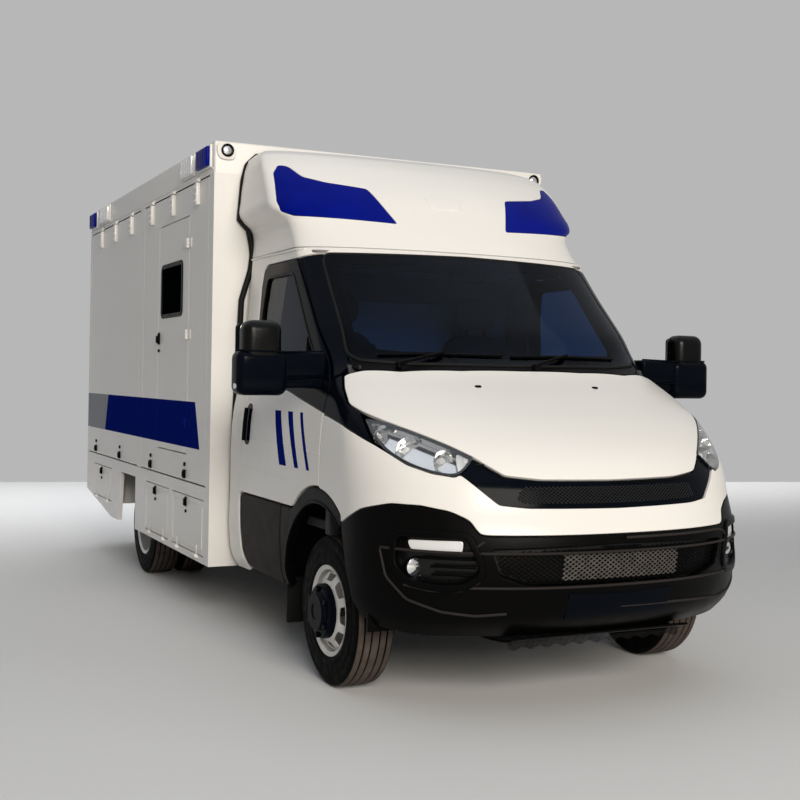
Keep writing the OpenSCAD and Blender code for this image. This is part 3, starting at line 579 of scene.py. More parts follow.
class Finish:
    """Nodes of one material."""

    def __init__(self, name):
        self.material = bpy.data.materials.new(name)
        self.material.use_nodes = True
        self.tree = self.material.node_tree
        self.where = node(self.tree, "TexCoord", {}, "Object")

    def set(self, **values):
        for key, value in values.items():
            put(self.tree, self.tree.nodes["Principled BSDF"].inputs[key.replace("_", " ")], value)

    def axis(self, name):
        return node(self.tree, "SeparateXYZ", {"Vector": self.where}, name)

    def along(self, axle=0.0):
        """Place behind an axle."""
        return self.math("SUBTRACT", self.axis("Y"), float(AXLE[1] + axle))

    def noise(self, scale, detail=3.0):
        return node(self.tree, "TexNoise", {"Vector": self.where, "Scale": scale, "Detail": detail}, "Fac")

    def drift(self, scale, low, high):
        """A value that drifts over the surface."""
        return node(self.tree, "MapRange", {"Value": self.noise(scale), "From Min": NOISE_LOW,
                                            "From Max": NOISE_HIGH, "To Min": low, "To Max": high})

    def math(self, operation, first, second=0.0):
        return node(self.tree, "Math", {0: first, 1: second}, operation=operation)

    def times(self, first, second):
        return self.math("MULTIPLY", first, second)

    def between(self, value, low, high):
        return self.times(self.math("GREATER_THAN", value, low), self.math("LESS_THAN", value, high))

    def mix(self, factor, first, second):
        inputs = {MIX_FACTOR: factor, MIX_FIRST: first, MIX_SECOND: second}
        return node(self.tree, "Mix", inputs, MIX_RESULT, data_type="RGBA")

    def shades(self, scale, colour, low, high):
        return self.mix(self.drift(scale, 0, 1), shade(colour, low), shade(colour, high))

    def bump(self, grain, strength, depth=0.0005):
        height = self.noise(grain, 2.0)
        self.set(Normal=node(self.tree, "Bump", {"Height": height, "Strength": strength,
                                                 "Distance": depth}))

    def dull(self, part, gloss):
        """Takes the gloss away where part is one."""
        self.set(Specular_IOR_Level=self.times(self.math("SUBTRACT", 1.0, part), gloss))


def finish(name, colour, rough, slot="black_plastic", spread=0.06, vary=0.06, scale=3.0, grain=400.0,
           bump=0.1, depth=0.0005, **sockets):
    """A material whose colour and roughness drift over the surface, with a fine grain."""
    made = Finish(name)
    made.set(Base_Color=made.shades(scale, colour, 1 - vary, 1 + vary),
             Roughness=made.drift(scale * 4, max(0.02, rough - spread), rough + spread), **sockets)
    made.bump(grain, bump, depth)
    return Look(slot, made.material)


def glass(name, slot, colour, index, **sockets):
    return finish(name, colour, 0.03, slot, 0.01, 0.05, grain=60, bump=0.01, Transmission_Weight=1.0,
                  IOR=index, **sockets)


def lamp_glass(name, slot, colour, rough, vary):
    return finish(name, colour, rough, slot, vary=vary, scale=8, grain=180, bump=0.3, Coat_Weight=0.6)


WHITE = (0.78, 0.76, 0.73)
BLUE = (0.004, 0.012, 0.16)
GREY = (0.30, 0.31, 0.33)
PAINT_GLOSS = 0.35
DARK = {"IOR": 1.12}

paint = finish("paint_white", WHITE, 0.26, "paint_white", 0.01, 0.005, grain=90, bump=0.004,
               Specular_IOR_Level=PAINT_GLOSS)
box_trim = Look("box_white", paint.material)
gloss_black = finish("gloss_black", (0.0015, 0.0025, 0.005), 0.14, spread=0.04, vary=0.1, grain=700,
                     bump=0.03, **DARK)
plastic = finish("black_plastic", (0.0018, 0.0017, 0.0017), 0.34, vary=0.15, grain=1400, bump=0.3, **DARK)
mirror_black = finish("mirror_black", (0.002, 0.002, 0.002), 0.26, vary=0.15, grain=1400, bump=0.15,
                      Specular_IOR_Level=0.14)
step_grey = finish("step_grey", (0.024, 0.021, 0.020), 0.5, vary=0.12, grain=1200, bump=0.35, **DARK)
dash_grey = finish("dash_grey", (0.03, 0.031, 0.034), 0.6, "cab_trim", vary=0.12, grain=1000, bump=0.5,
                   Specular_IOR_Level=0.2)
rubber_seal = finish("rubber_seal", (0.005, 0.005, 0.005), 0.6, vary=0.2, grain=500, bump=0.2,
                     Specular_IOR_Level=0.15)
mesh_grey = finish("mesh_grey", (0.11, 0.10, 0.09), 0.35, vary=0.3, scale=30, grain=600, bump=0.2,
                   Metallic=0.6)
dark_mesh = finish("dark_mesh", (0.003, 0.003, 0.003), 0.3, vary=0.2, grain=600, bump=0.2,
                   Specular_IOR_Level=0.3)
chrome = finish("chrome", (0.75, 0.75, 0.74), 0.12, "clear_lens", vary=0.05, grain=300, bump=0.05,
                Metallic=1.0)
silver = finish("rim_silver", (0.62, 0.61, 0.59), 0.34, "rim_silver", vary=0.08, scale=9, grain=900,
                bump=0.15, Metallic=0.5)
iron = finish("dark_iron", (0.05, 0.05, 0.05), 0.55, vary=0.3, scale=12, grain=300, bump=0.4, Metallic=0.4)
chassis_black = finish("chassis_black", (0.018, 0.018, 0.019), 0.5, vary=0.3, scale=6, grain=260, bump=0.4)
engine_metal = finish("engine_metal", (0.22, 0.22, 0.23), 0.5, vary=0.2, scale=14, grain=200, bump=0.5,
                      Metallic=0.6)
floor_board = finish("floor_board", (0.16, 0.17, 0.18), 0.6, vary=0.15, scale=8, grain=250, bump=0.6,
                     depth=0.001)
trim_cloth = finish("cab_trim", (0.03, 0.031, 0.034), 0.75, "cab_trim", vary=0.2, scale=20, grain=900,
                    bump=0.6)
lining = finish("lining_grey", (0.20, 0.19, 0.18), 0.7, "cab_trim", vary=0.08, scale=10, grain=700,
                bump=0.4)
clear_lens = glass("clear_lens", "clear_lens", (0.96, 0.97, 0.98), 1.45)
window_glass = glass("window_glass", "window_glass", (0.11, 0.18, 0.31), 1.14, Specular_IOR_Level=0.3)
dark_glass = finish("dark_glass", (0.001, 0.0015, 0.002), 0.08, "window_glass", 0.02, 0.2, grain=40,
                    bump=0.02, Specular_IOR_Level=0.0)
blue_lens = finish("blue_lens", (0.001, 0.006, 0.19), 0.22, "blue_lens", 0.04, 0.12, 5, 260, 0.12,
                   Specular_IOR_Level=0.03)
red_lens = lamp_glass("red_lens", "red_lens", (0.35, 0.006, 0.006), 0.15, 0.12)
amber_lens = lamp_glass("amber_lens", "red_lens", (0.65, 0.17, 0.01), 0.15, 0.12)
lamp_white = lamp_glass("lamp_white", "clear_lens", (0.72, 0.73, 0.74), 0.12, 0.05)
mirror_glass = finish("mirror_glass", (0.7, 0.72, 0.74), 0.03, spread=0.01, vary=0.03, grain=30, bump=0.01,
                      Metallic=1.0)

# Blue band along the box: heights, its slanted front end, and the grey field behind it
BAND_LOW = 1.00
BAND_HIGH = 1.28
BAND_FRONT = 1.67
BAND_FRONT_TOP = 1.777
BAND_REAR = 4.35
BAND_SKIN = 1.1
BAND_END = 9


def box_paint():
    made = Finish("box_white")
    y, z = made.along(), made.axis("Z")
    skin = made.math("GREATER_THAN", made.math("ABSOLUTE", made.axis("X")), BAND_SKIN)
    lean = (BAND_FRONT_TOP - BAND_FRONT) / (BAND_HIGH - BAND_LOW)
    slant = made.times(z, lean)
    ahead = made.between(made.math("SUBTRACT", y, slant), BAND_FRONT - BAND_LOW * lean, BAND_END)
    blue_part = made.times(made.times(skin, made.between(z, BAND_LOW, BAND_HIGH)), ahead)
    grey_part = made.math("GREATER_THAN", made.math("ADD", y, slant), BAND_REAR + BAND_LOW * lean)
    made.set(Base_Color=made.mix(blue_part, made.shades(2.0, WHITE, 0.97, 1.01),
                                 made.mix(grey_part, BLUE, GREY)),
             Roughness=made.drift(3.0, 0.30, 0.36))
    made.dull(blue_part, PAINT_GLOSS)
    made.bump(700, 0.05, 0.0003)
    return Look("box_white", made.material)


# Three slanted bars on a cab door: place of the front and rear edge at the foot and at the top
BAR_LOW = 0.99
BAR_HIGH = 1.265
BARS = mm((155, 195, 296, 336), (304, 359, 436, 506), (475, 578, 608, 698))


def door_paint():
    made = Finish("door_white")
    colour = made.shades(2.0, WHITE, 0.98, 1.01)
    y, z = made.along(), made.axis("Z")
    share = made.math("DIVIDE", made.math("SUBTRACT", z, BAR_LOW), BAR_HIGH - BAR_LOW)
    bars = 0.0
    for foot_front, foot_rear, top_front, top_rear in BARS:
        low = made.math("ADD", made.times(share, top_front - foot_front), foot_front)
        far = made.math("ADD", made.times(share, top_rear - foot_rear), foot_rear)
        bar_part = made.times(made.between(y, low, far), made.between(z, BAR_LOW, BAR_HIGH))
        bars = made.math("MAXIMUM", bars, bar_part)
        colour = made.mix(bar_part, colour, BLUE)
    made.set(Base_Color=colour, Roughness=made.drift(8.0, 0.18, 0.26))
    made.dull(bars, PAINT_GLOSS)
    made.bump(900, 0.01)
    return Look("paint_white", made.material)


# The tread colour is painted light: lighter where the key light falls on the tread; the side walls keep the
# rubber's own black
PAINTED_LIT_TREAD = (0.075, 0.060, 0.052)
WALL_RUBBER = (0.002, 0.002, 0.002)
TREAD_FROM = 0.3425
TYRE_R = 0.349


def tyre_finish(name, axle):
    """Tread painted lighter as painted light where the key light falls on it, and dark side walls, told
    apart by the distance from an axle.
    """
    made = Finish(name)
    along = made.along(axle)
    up = made.math("SUBTRACT", made.axis("Z"), TYRE_R)
    square = made.math("ADD", made.times(along, along), made.times(up, up))
    tread = made.math("GREATER_THAN", square, TREAD_FROM ** 2)
    painted_lit_tread = made.shades(14.0, PAINTED_LIT_TREAD, 0.75, 1.2)
    made.set(Base_Color=made.mix(tread, made.shades(14.0, WALL_RUBBER, 0.8, 1.2), painted_lit_tread),
             Roughness=made.drift(30.0, 0.5, 0.75), **DARK)
    made.bump(600, 0.3)
    return Look("tyre_rubber", made.material)


box_white = box_paint()
door_white = door_paint()

# Cab skin and its panels, columns as in Loft
cab = Loft([
    (330, 200, 650, 70), (420, 70, 670, 20), (550, 15, 680, 0), (790, 0, 700, 0), (900, 50, 720, 0),
    (1030, 100, 750, 0), (1150, 220, 780, 5), (1250, 380, 830, 15), (1350, 580, 950, 35),
    (1480, 850, 1150, 70), (1700, 1060, 1340, 85), (1900, 1260, 1530, 100), (2120, 1480, 1716, 115)])
HOOD_FRONT = mm((0, 1016), (349, 1021), (503, 1038), (565, 1082), (601, 1112), (670, 1155), (759, 1202),
                (863, 1253), (918, 1287), (946, 1319), (926, 1388), (890, 1452))
HOOD_REAR = mm((808, -20), (643, -94), (340, -136), (0, -144))
LAMP = mm((926, 1258), (863, 1250), (759, 1199), (670, 1152), (601, 1109), (641, 1064), (694, 1027),
          (777, 1041), (851, 1073), (907, 1128), (930, 1201))
LAMP_FOOT = mm((934, 1150), (912, 1128), (852, 1070), (777, 1038), (694, 1024))
GRILLE_LOW = mm((0, 896), (430, 902), (545, 914), (610, 974), (675, 1038))
GRILLE_TOP = mm((641, 1064), (601, 1109), (565, 1079), (503, 1035), (349, 1018), (0, 1013))
BUMPER_EDGE = mm((-868, 798), (-828, 855), (-773, 888), (-685, 907), (-575, 908), (-419, 872), (-237, 790))
FASCIA_HALF = 0.60
FASCIA_FOOT = 0.795
BUMPER_GAP = 0.004
DOOR_FRONT = 0.035
SHUT_GAP = 0.006
ARCH_CENTRE = (0.060, 0.420)
ARCH_R = 0.500
DOOR_ARCH_R = 0.507


def arch(radius, start, end):
    t = np.radians(np.linspace(start, end, 24))
    return [(ARCH_CENTRE[0] + radius * math.cos(a), ARCH_CENTRE[1] + radius * math.sin(a)) for a in t]


hood_loop = smooth(whole(cab.front(HOOD_FRONT), cab.plan(HOOD_REAR)))
piece("hood_panel", panel(cab, hood_loop, 0.020, 0.005), "hood", paint, "hood")
fender_loop = whole(
    cab.front([(0, FASCIA_FOOT), (FASCIA_HALF, FASCIA_FOOT)]), cab.side(BUMPER_EDGE),
    cab.from_side(arch(ARCH_R, 127, 93.7)),
    cab.side([(DOOR_FRONT - SHUT_GAP, 0.932), (DOOR_FRONT - SHUT_GAP, 1.266)]),
    cab.side([(-0.194, 1.227), (-0.318, 1.190)]), cab.front(LAMP_FOOT), cab.front(GRILLE_LOW[::-1]))
fixed("front_panel", panel(cab, smooth(fender_loop), 0.022, 0.004), paint, "fenders")
TRIM_LOW = mm((28, 1271), (-194, 1232), (-318, 1195))
TRIM_TOP = mm((935, 1156), (940, 1205), (935, 1262), (930, 1290), (954, 1318), (933, 1389), (898, 1450))
TRIM_REAR = mm((18, 1440), (28, 1400), (28, 1290))
trim_loop = np.concatenate([cab.side(TRIM_LOW), cab.front(TRIM_TOP), cab.side(TRIM_REAR)])
fixed("pillar_foot", pair(panel(cab, trim_loop, 0.016, 0.002)), gloss_black)

# Head lamps, with bowls by place across, height and radius
PAN_DEPTH = 0.060
BOWLS = mm((806, 1122, 58), (700, 1086, 46), (886, 1180, 32))
BOWL_DEPTH = 0.045
BOWL_WALL = 0.002
LAMP_END = mm((601, 1109), (641, 1064), (680, 1040), (672, 1098), (655, 1140))


def bowl_at(x, z, radius):
    rim = cab(cab.from_front(circle((x, z), radius, 16)))[0]
    return np.array([x, rim[:, 1].max() + 0.006, z])


def bowl(x, z, radius):
    inner = [(radius * math.sqrt(1 - k * 0.96), BOWL_DEPTH * k) for k in np.linspace(0, 1, 9)]
    outer = [(r + BOWL_WALL, y + BOWL_WALL) for r, y in reversed(inner)]
    return lathe(inner + outer, bowl_at(x, z, radius), 1, 40)


lamp_loop = smooth(cab.from_front(LAMP), corners=(0, 4))
fixed("head_lamp_lens", pair(panel(cab, lamp_loop, 0.004, 0.0015)), clear_lens, "clear_lamps")
lamp_pan = merge(panel(sunk(cab, PAN_DEPTH), lamp_loop, 0.006, 0.002),
                 wall_strip(cab, lamp_loop, 0.005, PAN_DEPTH))
fixed("head_lamp_pan", pair(lamp_pan), chrome)
fixed("head_lamp_mask", pair(ring_panel(sunk(cab, 0.0055), lamp_loop, 0.0, 0.012, 0.008, 0.001)),
      gloss_black)
fixed("lamp_bowls", pair(merge(*[bowl(*b) for b in BOWLS])), chrome)
bulbs = [rod(bowl_at(x, z, radius) + [0, 0.024, 0], 1, 0.014, 0.3 * radius) for x, z, radius in BOWLS]
fixed("lamp_bulbs", pair(merge(*bulbs)), lamp_white)
lamp_end = panel(sunk(cab, 0.02), smooth(cab.from_front(LAMP_END)), 0.01, 0.003)
fixed("lamp_inner_end", pair(lamp_end), lamp_white)

# Grille
MESH = mm((0, 918), (430, 922), (470, 935), (440, 995), (0, 992))
GRILLE_LINE = mm((0, 1004), (349, 1009), (503, 1026), (575, 1075), (610, 1085))
grille_loop = smooth(whole(cab.front(GRILLE_LOW), cab.front(GRILLE_TOP)))
fixed("grille_panel", panel(sunk(cab, 0.012), grille_loop, 0.014, 0.003), gloss_black, "grille")
fixed("grille_mesh", lattice(sunk(cab, 0.008), smooth(whole(cab.front(MESH))), 0.020, 0.0024), dark_mesh)
fixed("grille_lip", bar(sunk(cab, 0.012), whole(cab.from_front(GRILLE_LINE))[:-1], 0.004), plastic)

# Bumper, with slats by their two ends and height
BUMPER_REAR = mm((-237, 786), (-300, 630), (-351, 480), (-405, 405), (-480, 366))
BUMPER_FOOT = mm((800, 345), (0, 345))
INTAKE = mm((0, 575), (430, 575), (565, 625), (600, 735), (0, 752))
MESH_MIDDLE = ((-0.300, 0.600), (0.300, 0.722))
MESH_PITCH = 0.028
POCKET = mm((690, 775), (640, 640), (700, 590), (790, 585), (870, 600), (912, 660), (905, 770))
PALE_STRIP = mm((700, 769), (880, 764), (874, 724), (706, 714))
SLATS = mm((655, 850, 690), (655, 815, 655), (670, 810, 620))
FOG = (0.838, 0.645)
FOG_R = 0.038
LIP = mm((0, 478), (300, 475), (520, 466), (640, 455), (760, 468), (875, 512), (935, 600), (950, 720))
BROW = mm((0, 775), (560, 775), (625, 768), (660, 740), (625, 660), (640, 600), (700, 562), (800, 556),
          (890, 575))
PLATE = ((-0.265, 0.430), (0.265, 0.548))
TRAY = mm((-860, 345), (-800, 318), (-600, 300), (-420, 300), (-420, 310), (-600, 310), (-790, 328),
          (-850, 352))
TRAY_HALF = 0.46
BRUSH_HALF = 0.45
bumper_loop = whole(
    cab.front([(0, FASCIA_FOOT - BUMPER_GAP), (FASCIA_HALF, FASCIA_FOOT - BUMPER_GAP)]),
    cab.from_side(polyline(BUMPER_EDGE) - [0, BUMPER_GAP]), cab.side(BUMPER_REAR), cab.front(BUMPER_FOOT))
intake_loop = smooth(whole(cab.front(INTAKE)))
pocket_loop = smooth(cab.from_front(closed(POCKET, 0.03)))
bumper = panel(cab, smooth(bumper_loop), 0.024, 0.006, [intake_loop, pocket_loop, pocket_loop * [-1, 1]])
fixed("bumper_shell", bumper, plastic, "bumper")
fixed("intake_back", panel(sunk(cab, 0.035), intake_loop, 0.006, 0.001), dark_mesh)
pocket_back = merge(panel(sunk(cab, 0.050), pocket_loop, 0.006, 0.001),
                    wall_strip(cab, pocket_loop, 0.020, 0.052))
fixed("pocket_back", pair(pocket_back), dark_mesh)
fixed("intake_mesh", lattice(sunk(cab, 0.022), inset(cab, intake_loop, 0.008), MESH_PITCH, 0.003), plastic)
middle_mesh = cab.from_front(round_rect(*MESH_MIDDLE, 0.006))
fixed("intake_mesh_middle", lattice(sunk(cab, 0.016), middle_mesh, MESH_PITCH, 0.0032), mesh_grey)
fixed("pocket_rims", pair(ring_panel(sunk(cab, -0.010), pocket_loop, 0.034, -0.001, 0.024, 0.009)), plastic)
pale_loop = smooth(cab.from_front(closed(PALE_STRIP)), 0.008)
fixed("bumper_lamp_strip", pair(panel(sunk(cab, 0.010), pale_loop, 0.012, 0.003)), lamp_white)
slats = [bar(sunk(cab, 0.028), cab.front([(x0, z), (x1, z)]), 0.006) for x0, x1, z in SLATS]
fixed("pocket_slats", pair(merge(*slats)), plastic)
fog_place = bowl_at(*FOG, FOG_R) + [0, 0.006, 0]
fog_rim = lathe([(FOG_R, 0.012), (FOG_R + 0.007, 0.010), (FOG_R + 0.009, -0.004), (FOG_R + 0.006, -0.008),
                 (FOG_R + 0.001, -0.006), (FOG_R, 0.0)], fog_place, 1, 40)
fixed("fog_rims", pair(fog_rim), gloss_black)
fog_face = [(TINY, -0.004), (0.5 * FOG_R, -0.003), (FOG_R, 0.002), (FOG_R, 0.012), (TINY, 0.012)]
fixed("fog_lamps", pair(lathe(fog_face, fog_place, 1, 40)), chrome)
# The ribs take the lighter step grey as painted highlight lines along the bumper's ridges
ribs = [bar(sunk(cab, -0.001), whole(cab.from_front(line))[:-1], 0.006) for line in (LIP, BROW)]
fixed("bumper_ribs_painted_highlight", merge(*ribs), step_grey)
fixed("plate_place", panel(sunk(cab, -0.006), cab.from_front(round_rect(*PLATE, 0.012)), 0.012, 0.003),
      gloss_black)
fixed("undertray", prism(smooth(TRAY, 0.02, (0, 3, 4, 7)), -TRAY_HALF, TRAY_HALF), plastic)
bristles = [tube([(x, -0.79, 0.322), (x + 0.002, -0.795, 0.285 + 0.012 * math.sin(37 * x) ** 2)], 0.0016, 5)
            for x in np.arange(-BRUSH_HALF, BRUSH_HALF, 0.006)]
fixed("tray_brush", merge(*bristles), rubber_seal)

# Windscreen with its band, seal, cowl, wipers and washer nozzles
GLASS = mm((0, 1512), (600, 1515), (800, 1528), (838, 1560), (796, 2050), (766, 2082), (0, 2096))
CLEAR = mm((0, 1570), (580, 1573), (755, 1585), (785, 1620), (752, 1985), (720, 2020), (0, 2030))
COWL_FRONT = mm((0, -134), (340, -126), (643, -84), (815, -6))
COWL_REAR = mm((843, 1494), (832, 1535), (800, 1520), (600, 1507), (0, 1504))
Wiper = namedtuple("Wiper", "blade pivot hold")
WIPERS = [Wiper([(-0.710, 1.548), (-0.400, 1.556), (-0.070, 1.553)], (-0.640, 1.496), (-0.390, 1.556)),
          Wiper([(-0.020, 1.549), (0.300, 1.555), (0.640, 1.552)], (0.080, 1.496), (0.310, 1.555))]
NOZZLE = (0.330, 1.405)
glass_loop = smooth(whole(cab.front(GLASS)))
fixed("windscreen_glass", panel(cab, glass_loop, 0.006, 0.001), window_glass, "windscreen")
band_hole = smooth(whole(cab.front(CLEAR)))
band = panel(sunk(cab, 0.0065), inset(cab, glass_loop, 0.002), 0.002, 0.0005, [band_hole])
fixed("windscreen_band", band, gloss_black)
fixed("windscreen_seal", bar(sunk(cab, 0.006), glass_loop, 0.009, True), rubber_seal)
cowl_loop = whole(cab.plan(COWL_FRONT), cab.front(COWL_REAR))
fixed("cowl", panel(sunk(cab, 0.005), resample(cowl_loop), 0.02, 0.002), plastic)
wipers = []
for wiper in WIPERS:
    wipers.append(bar(sunk(cab, -0.007), cab.front(wiper.blade), 0.006))
    wipers.append(bar(sunk(cab, -0.020), cab.front([wiper.pivot, wiper.hold]), 0.008))
    wipers.append(rod(cab.at(*wiper.pivot) + [0, -0.012, 0.008], 2, 0.014, 0.016))
fixed("wipers", merge(*wipers), plastic)
points, faces, _ = pad((-0.016, -0.010, -0.006), (0.016, 0.014, 0.008))
piece("washer_nozzles", pair((points + cab.at(*NOZZLE), faces, None)), "hood", plastic)

# Cab doors and mirrors
DOOR_REAR = 1.195
BELT_LINE = [(DOOR_FRONT, 1.270), (0.254, 1.309), (0.407, 1.337), (0.560, 1.366), (0.640, 1.376),
             (DOOR_REAR, 1.378)]
DOOR_TOP = [(DOOR_REAR, 1.940), (1.170, 2.030), (1.120, 2.055), (0.690, 2.055), (0.655, 2.045),
            (0.060, 1.430), (DOOR_FRONT, 1.405)]
WINDOW = mm((190, 1400), (690, 1965), (720, 1985), (1080, 1985), (1105, 1965), (1140, 1800), (1145, 1400))
DIVIDER = mm((410, 1640), (430, 1405))
SASH = mm((215, 1396), (1150, 1396))
GRIP_PLATE = ((1.062, 1.062), (1.156, 1.290))
GRIP = mm((1118, 1085), (1118, 1262))
CREASES = [[(0.045, 1.075), (0.300, 1.092), (0.700, 1.108), (1.060, 1.115)],
           [(0.470, 0.925), (0.800, 0.935), (1.185, 0.940)]]
MIRROR_HEAD = ((1.156, 0.104, 1.480), (1.345, 0.240, 1.703), 0.050)
MIRROR_BASE = [((1.130, 0.100, 1.350), (1.378, 0.240, 1.562), 0.042),
               ((0.930, 0.120, 1.432), (1.200, 0.236, 1.560), 0.020),
               ((0.934, 0.134, 1.384), (1.200, 0.232, 1.446), 0.016)]
MIRROR_EDGES = [[(1.372, 0.150, 1.560), (1.345, 0.112, 1.559), (1.240, 0.101, 1.556), (1.120, 0.118, 1.556),
                 (0.945, 0.146, 1.562)],
                [(1.372, 0.150, 1.440), (1.345, 0.112, 1.438), (1.240, 0.101, 1.434), (1.120, 0.118, 1.433),
                 (0.950, 0.146, 1.440)]]
MIRROR_VIEWS = [((1.176, 1.475), (1.352, 1.688), 0.022), ((1.166, 1.364), (1.362, 1.458), 0.018)]
MIRROR_REAR = 0.2415
MIRROR_LAMP = ((1.318, 0.120, 1.374), (1.380, 0.200, 1.414))
door_outline = polyline(BELT_LINE + [(DOOR_REAR, 0.797)], 0.012).tolist()
door_outline += arch(DOOR_ARCH_R, 48.0, 92.8) + [(DOOR_FRONT, 0.96)]
sash_outline = polyline([(y, z + 0.003) for y, z in BELT_LINE] + DOOR_TOP + [(DOOR_FRONT, 1.274)], 0.012)
sash_loop = cab.from_side(resample(sash_outline))
window_loop = cab.from_side(smooth(closed(WINDOW, 0.03)))
CAB_DOOR = "cab_door_{}"
door = panel(cab, cab.from_side(resample(np.array(door_outline))), 0.050, 0.005)
per_side("door_skin_{}", door, CAB_DOOR, door_white, CAB_DOOR)
per_side("door_sash_{}", panel(sunk(cab, 0.001), sash_loop, 0.050, 0.004, [window_loop]), CAB_DOOR,
         gloss_black)
per_side("door_pane_{}", panel(sunk(cab, 0.012), window_loop, 0.005, 0.001), CAB_DOOR, window_glass,
         "door_glass_{}")
trims = merge(ring_panel(sunk(cab, -0.002), window_loop, 0.012, 0.006, 0.03),
              bar(sunk(cab, 0.006), cab.side(DIVIDER), 0.012), bar(cab, cab.side(SASH), 0.009))
per_side("window_trim_{}", trims, CAB_DOOR, plastic)
grip = merge(panel(sunk(cab, -0.002), cab.from_side(round_rect(*GRIP_PLATE, 0.040)), 0.01, 0.003),
             bar(sunk(cab, -0.016), cab.side(GRIP), 0.012))
per_side("door_handle_{}", grip, CAB_DOOR, gloss_black)
creases = [bar(sunk(cab, 0.0045), cab.side(line), 0.006) for line in CREASES]
per_side("door_crease_{}", merge(*creases), CAB_DOOR, door_white)
per_side("mirror_head_{}", slab(*MIRROR_HEAD, 6), CAB_DOOR, mirror_black, "mirror_{}")
base = [slab(*row, 6) for row in MIRROR_BASE] + [tube(polyline(line), 0.005, 8) for line in MIRROR_EDGES]
per_side("mirror_base_{}", merge(*base), CAB_DOOR, gloss_black)
views = [panel(plane(1, MIRROR_REAR, 1), round_rect(*row), 0.004, 0.001, grid=0) for row in MIRROR_VIEWS]
per_side("mirror_view_{}", merge(*views), CAB_DOOR, mirror_glass)
per_side("mirror_lamp_{}", pad(*MIRROR_LAMP, 3.0), CAB_DOOR, lamp_white)

# Pillars and roof edge
ROOF_REAR = 1.398
pillar = np.concatenate([cab.front([(0.845, 1.500), (0.845, 1.560), (0.803, 2.050), (0.772, 2.083)]),
                         cab.side([(0.648, 2.055), (0.046, 1.436), (0.030, 1.470)])])
fixed("windscreen_pillars", pair(panel(cab, smooth(pillar), 0.03, 0.004)), gloss_black, "cab_shell")
roof_edge = whole(
    cab.front([(0, 2.102), (0.766, 2.090)]),
    cab.side([(0.656, 2.062), (1.124, 2.062), (1.177, 2.034), (1.201, 1.942), (1.201, 0.798)]),
    cab.side([(1.233, 0.780), (1.198, 0.478), (1.162, 0.390), (1.168, 0.356), (ROOF_REAR, 0.350),
              (ROOF_REAR, 2.117)]),
    cab.front([(0.70, 2.117), (0, 2.117)]))
fixed("roof_edge", panel(cab, resample(roof_edge), 0.024, 0.003), paint)
GUTTER = [(0.640, 2.106), (1.136, 2.112), (ROOF_REAR, 2.112)]
fixed("roof_gutters", pair(bar(sunk(cab, -0.002), cab.side(GUTTER), 0.006)), paint)

# Step, wheel arch and mud flap beside the front wheels
STEP = mm((560, 788), (1215, 788), (1225, 760), (1190, 480), (1150, 390), (1080, 372), (620, 372),
          (560, 400))
TREADS_Z = (0.412, 0.600)
FLAP_SHEET = ((0.742, 0.551, 0.185), (0.955, 0.559, 0.610))
LINER_R = 0.472
LINER_T = 0.006
LINER_FOOT = 0.34
FLARE_R = ARCH_R - 0.0015
FLARE_IN = 0.430
FLARE_FOOT = 0.375
step_parts = [panel(sunk(cab, 0.004), cab.from_side(smooth(closed(STEP))), 0.03, 0.012)]
step_parts += [slab((0.730, 0.575, z), (0.955, 1.185, z + 0.018), 0.006) for z in TREADS_Z]
fixed("step_panels", pair(merge(*step_parts)), step_grey, "cab_steps")
fixed("mud_flaps", pair(slab(*FLAP_SHEET, 0.003)), rubber_seal)
liner_out = [(-0.468, LINER_FOOT), (-0.466, 0.50)] + arch(LINER_R + LINER_T, 158, 18)
liner_out += [(0.546, 0.50), (0.546, 0.42)]
liner_in = [(0.540, 0.42), (0.540, 0.50)] + arch(LINER_R, 18, 158) + [(-0.460, 0.50), (-0.460, LINER_FOOT)]
fixed("arch_liners", pair(prism(np.array(liner_out + liner_in), 0.480, 0.962, 0.001)), plastic)
flare = arch(FLARE_R, 129, 48) + [(0.410, 0.788), (0.557, 0.788), (0.557, FLARE_FOOT), (0.497, FLARE_FOOT),
                                  (0.492, 0.500)] + arch(FLARE_IN, 12, 129)
flare_edge = [(0.497, FLARE_FOOT), (0.490, 0.500)] + arch(FLARE_IN, 12, 129)
flares = merge(panel(sunk(cab, 0.005), cab.from_side(resample(np.array(flare))), 0.040, 0.012),
               bar(sunk(cab, 0.008), cab.side(flare_edge), 0.008))
fixed("arch_lips", pair(flares), plastic)

# Cab inside; blocks by low corner, high corner and edge radius
TUB_X = 0.900
WALL_X = 0.865
FLOOR_TOP = 0.746
CAB_BACK = 1.395
BACK_WALL = 0.035
PASSAGE = ((-0.420, 1.000), (0.420, 1.900))
HINGE_X, HINGE_Y = 0.975, 0.017
ARM_T, ARM_H = 0.008, 0.009
DOOR_HINGES = (0.900, 1.180)
TUB = [((-TUB_X, 0.035, 0.700), (TUB_X, CAB_BACK, FLOOR_TOP), 0.006),
       ((-WALL_X, 0.002, 0.702), (WALL_X, 0.033, 1.350), 0.006)]
TUB_SIDE = [((0.860, 0.532, 0.642), (0.922, CAB_BACK, FLOOR_TOP), 0.006),
            ((0.862, -0.028, 0.702), (0.966, 0.027, 0.998), 0.006),
            ((0.862, -0.028, 0.990), (0.903, 0.027, 1.328), 0.006),
            ((0.803, 0.002, 1.302), (0.813, 0.060, 1.498), 0.003),
            ((0.800, 1.204, 0.800), (0.960, 1.392, 1.380), 0.012),
            ((0.790, 1.250, 1.370), (0.880, 1.392, 2.050), 0.012)]
TUB_PIN = (0.830, 0.050, 1.490)
DASH = mm((75, 1050), (75, 1372), (120, 1398), (250, 1392), (360, 1356), (384, 1300), (360, 1180),
          (330, 1050))
DASH_HALF = 0.840
SEATS_X = (-0.460, 0.460)
HEADLINER_Z = 2.088
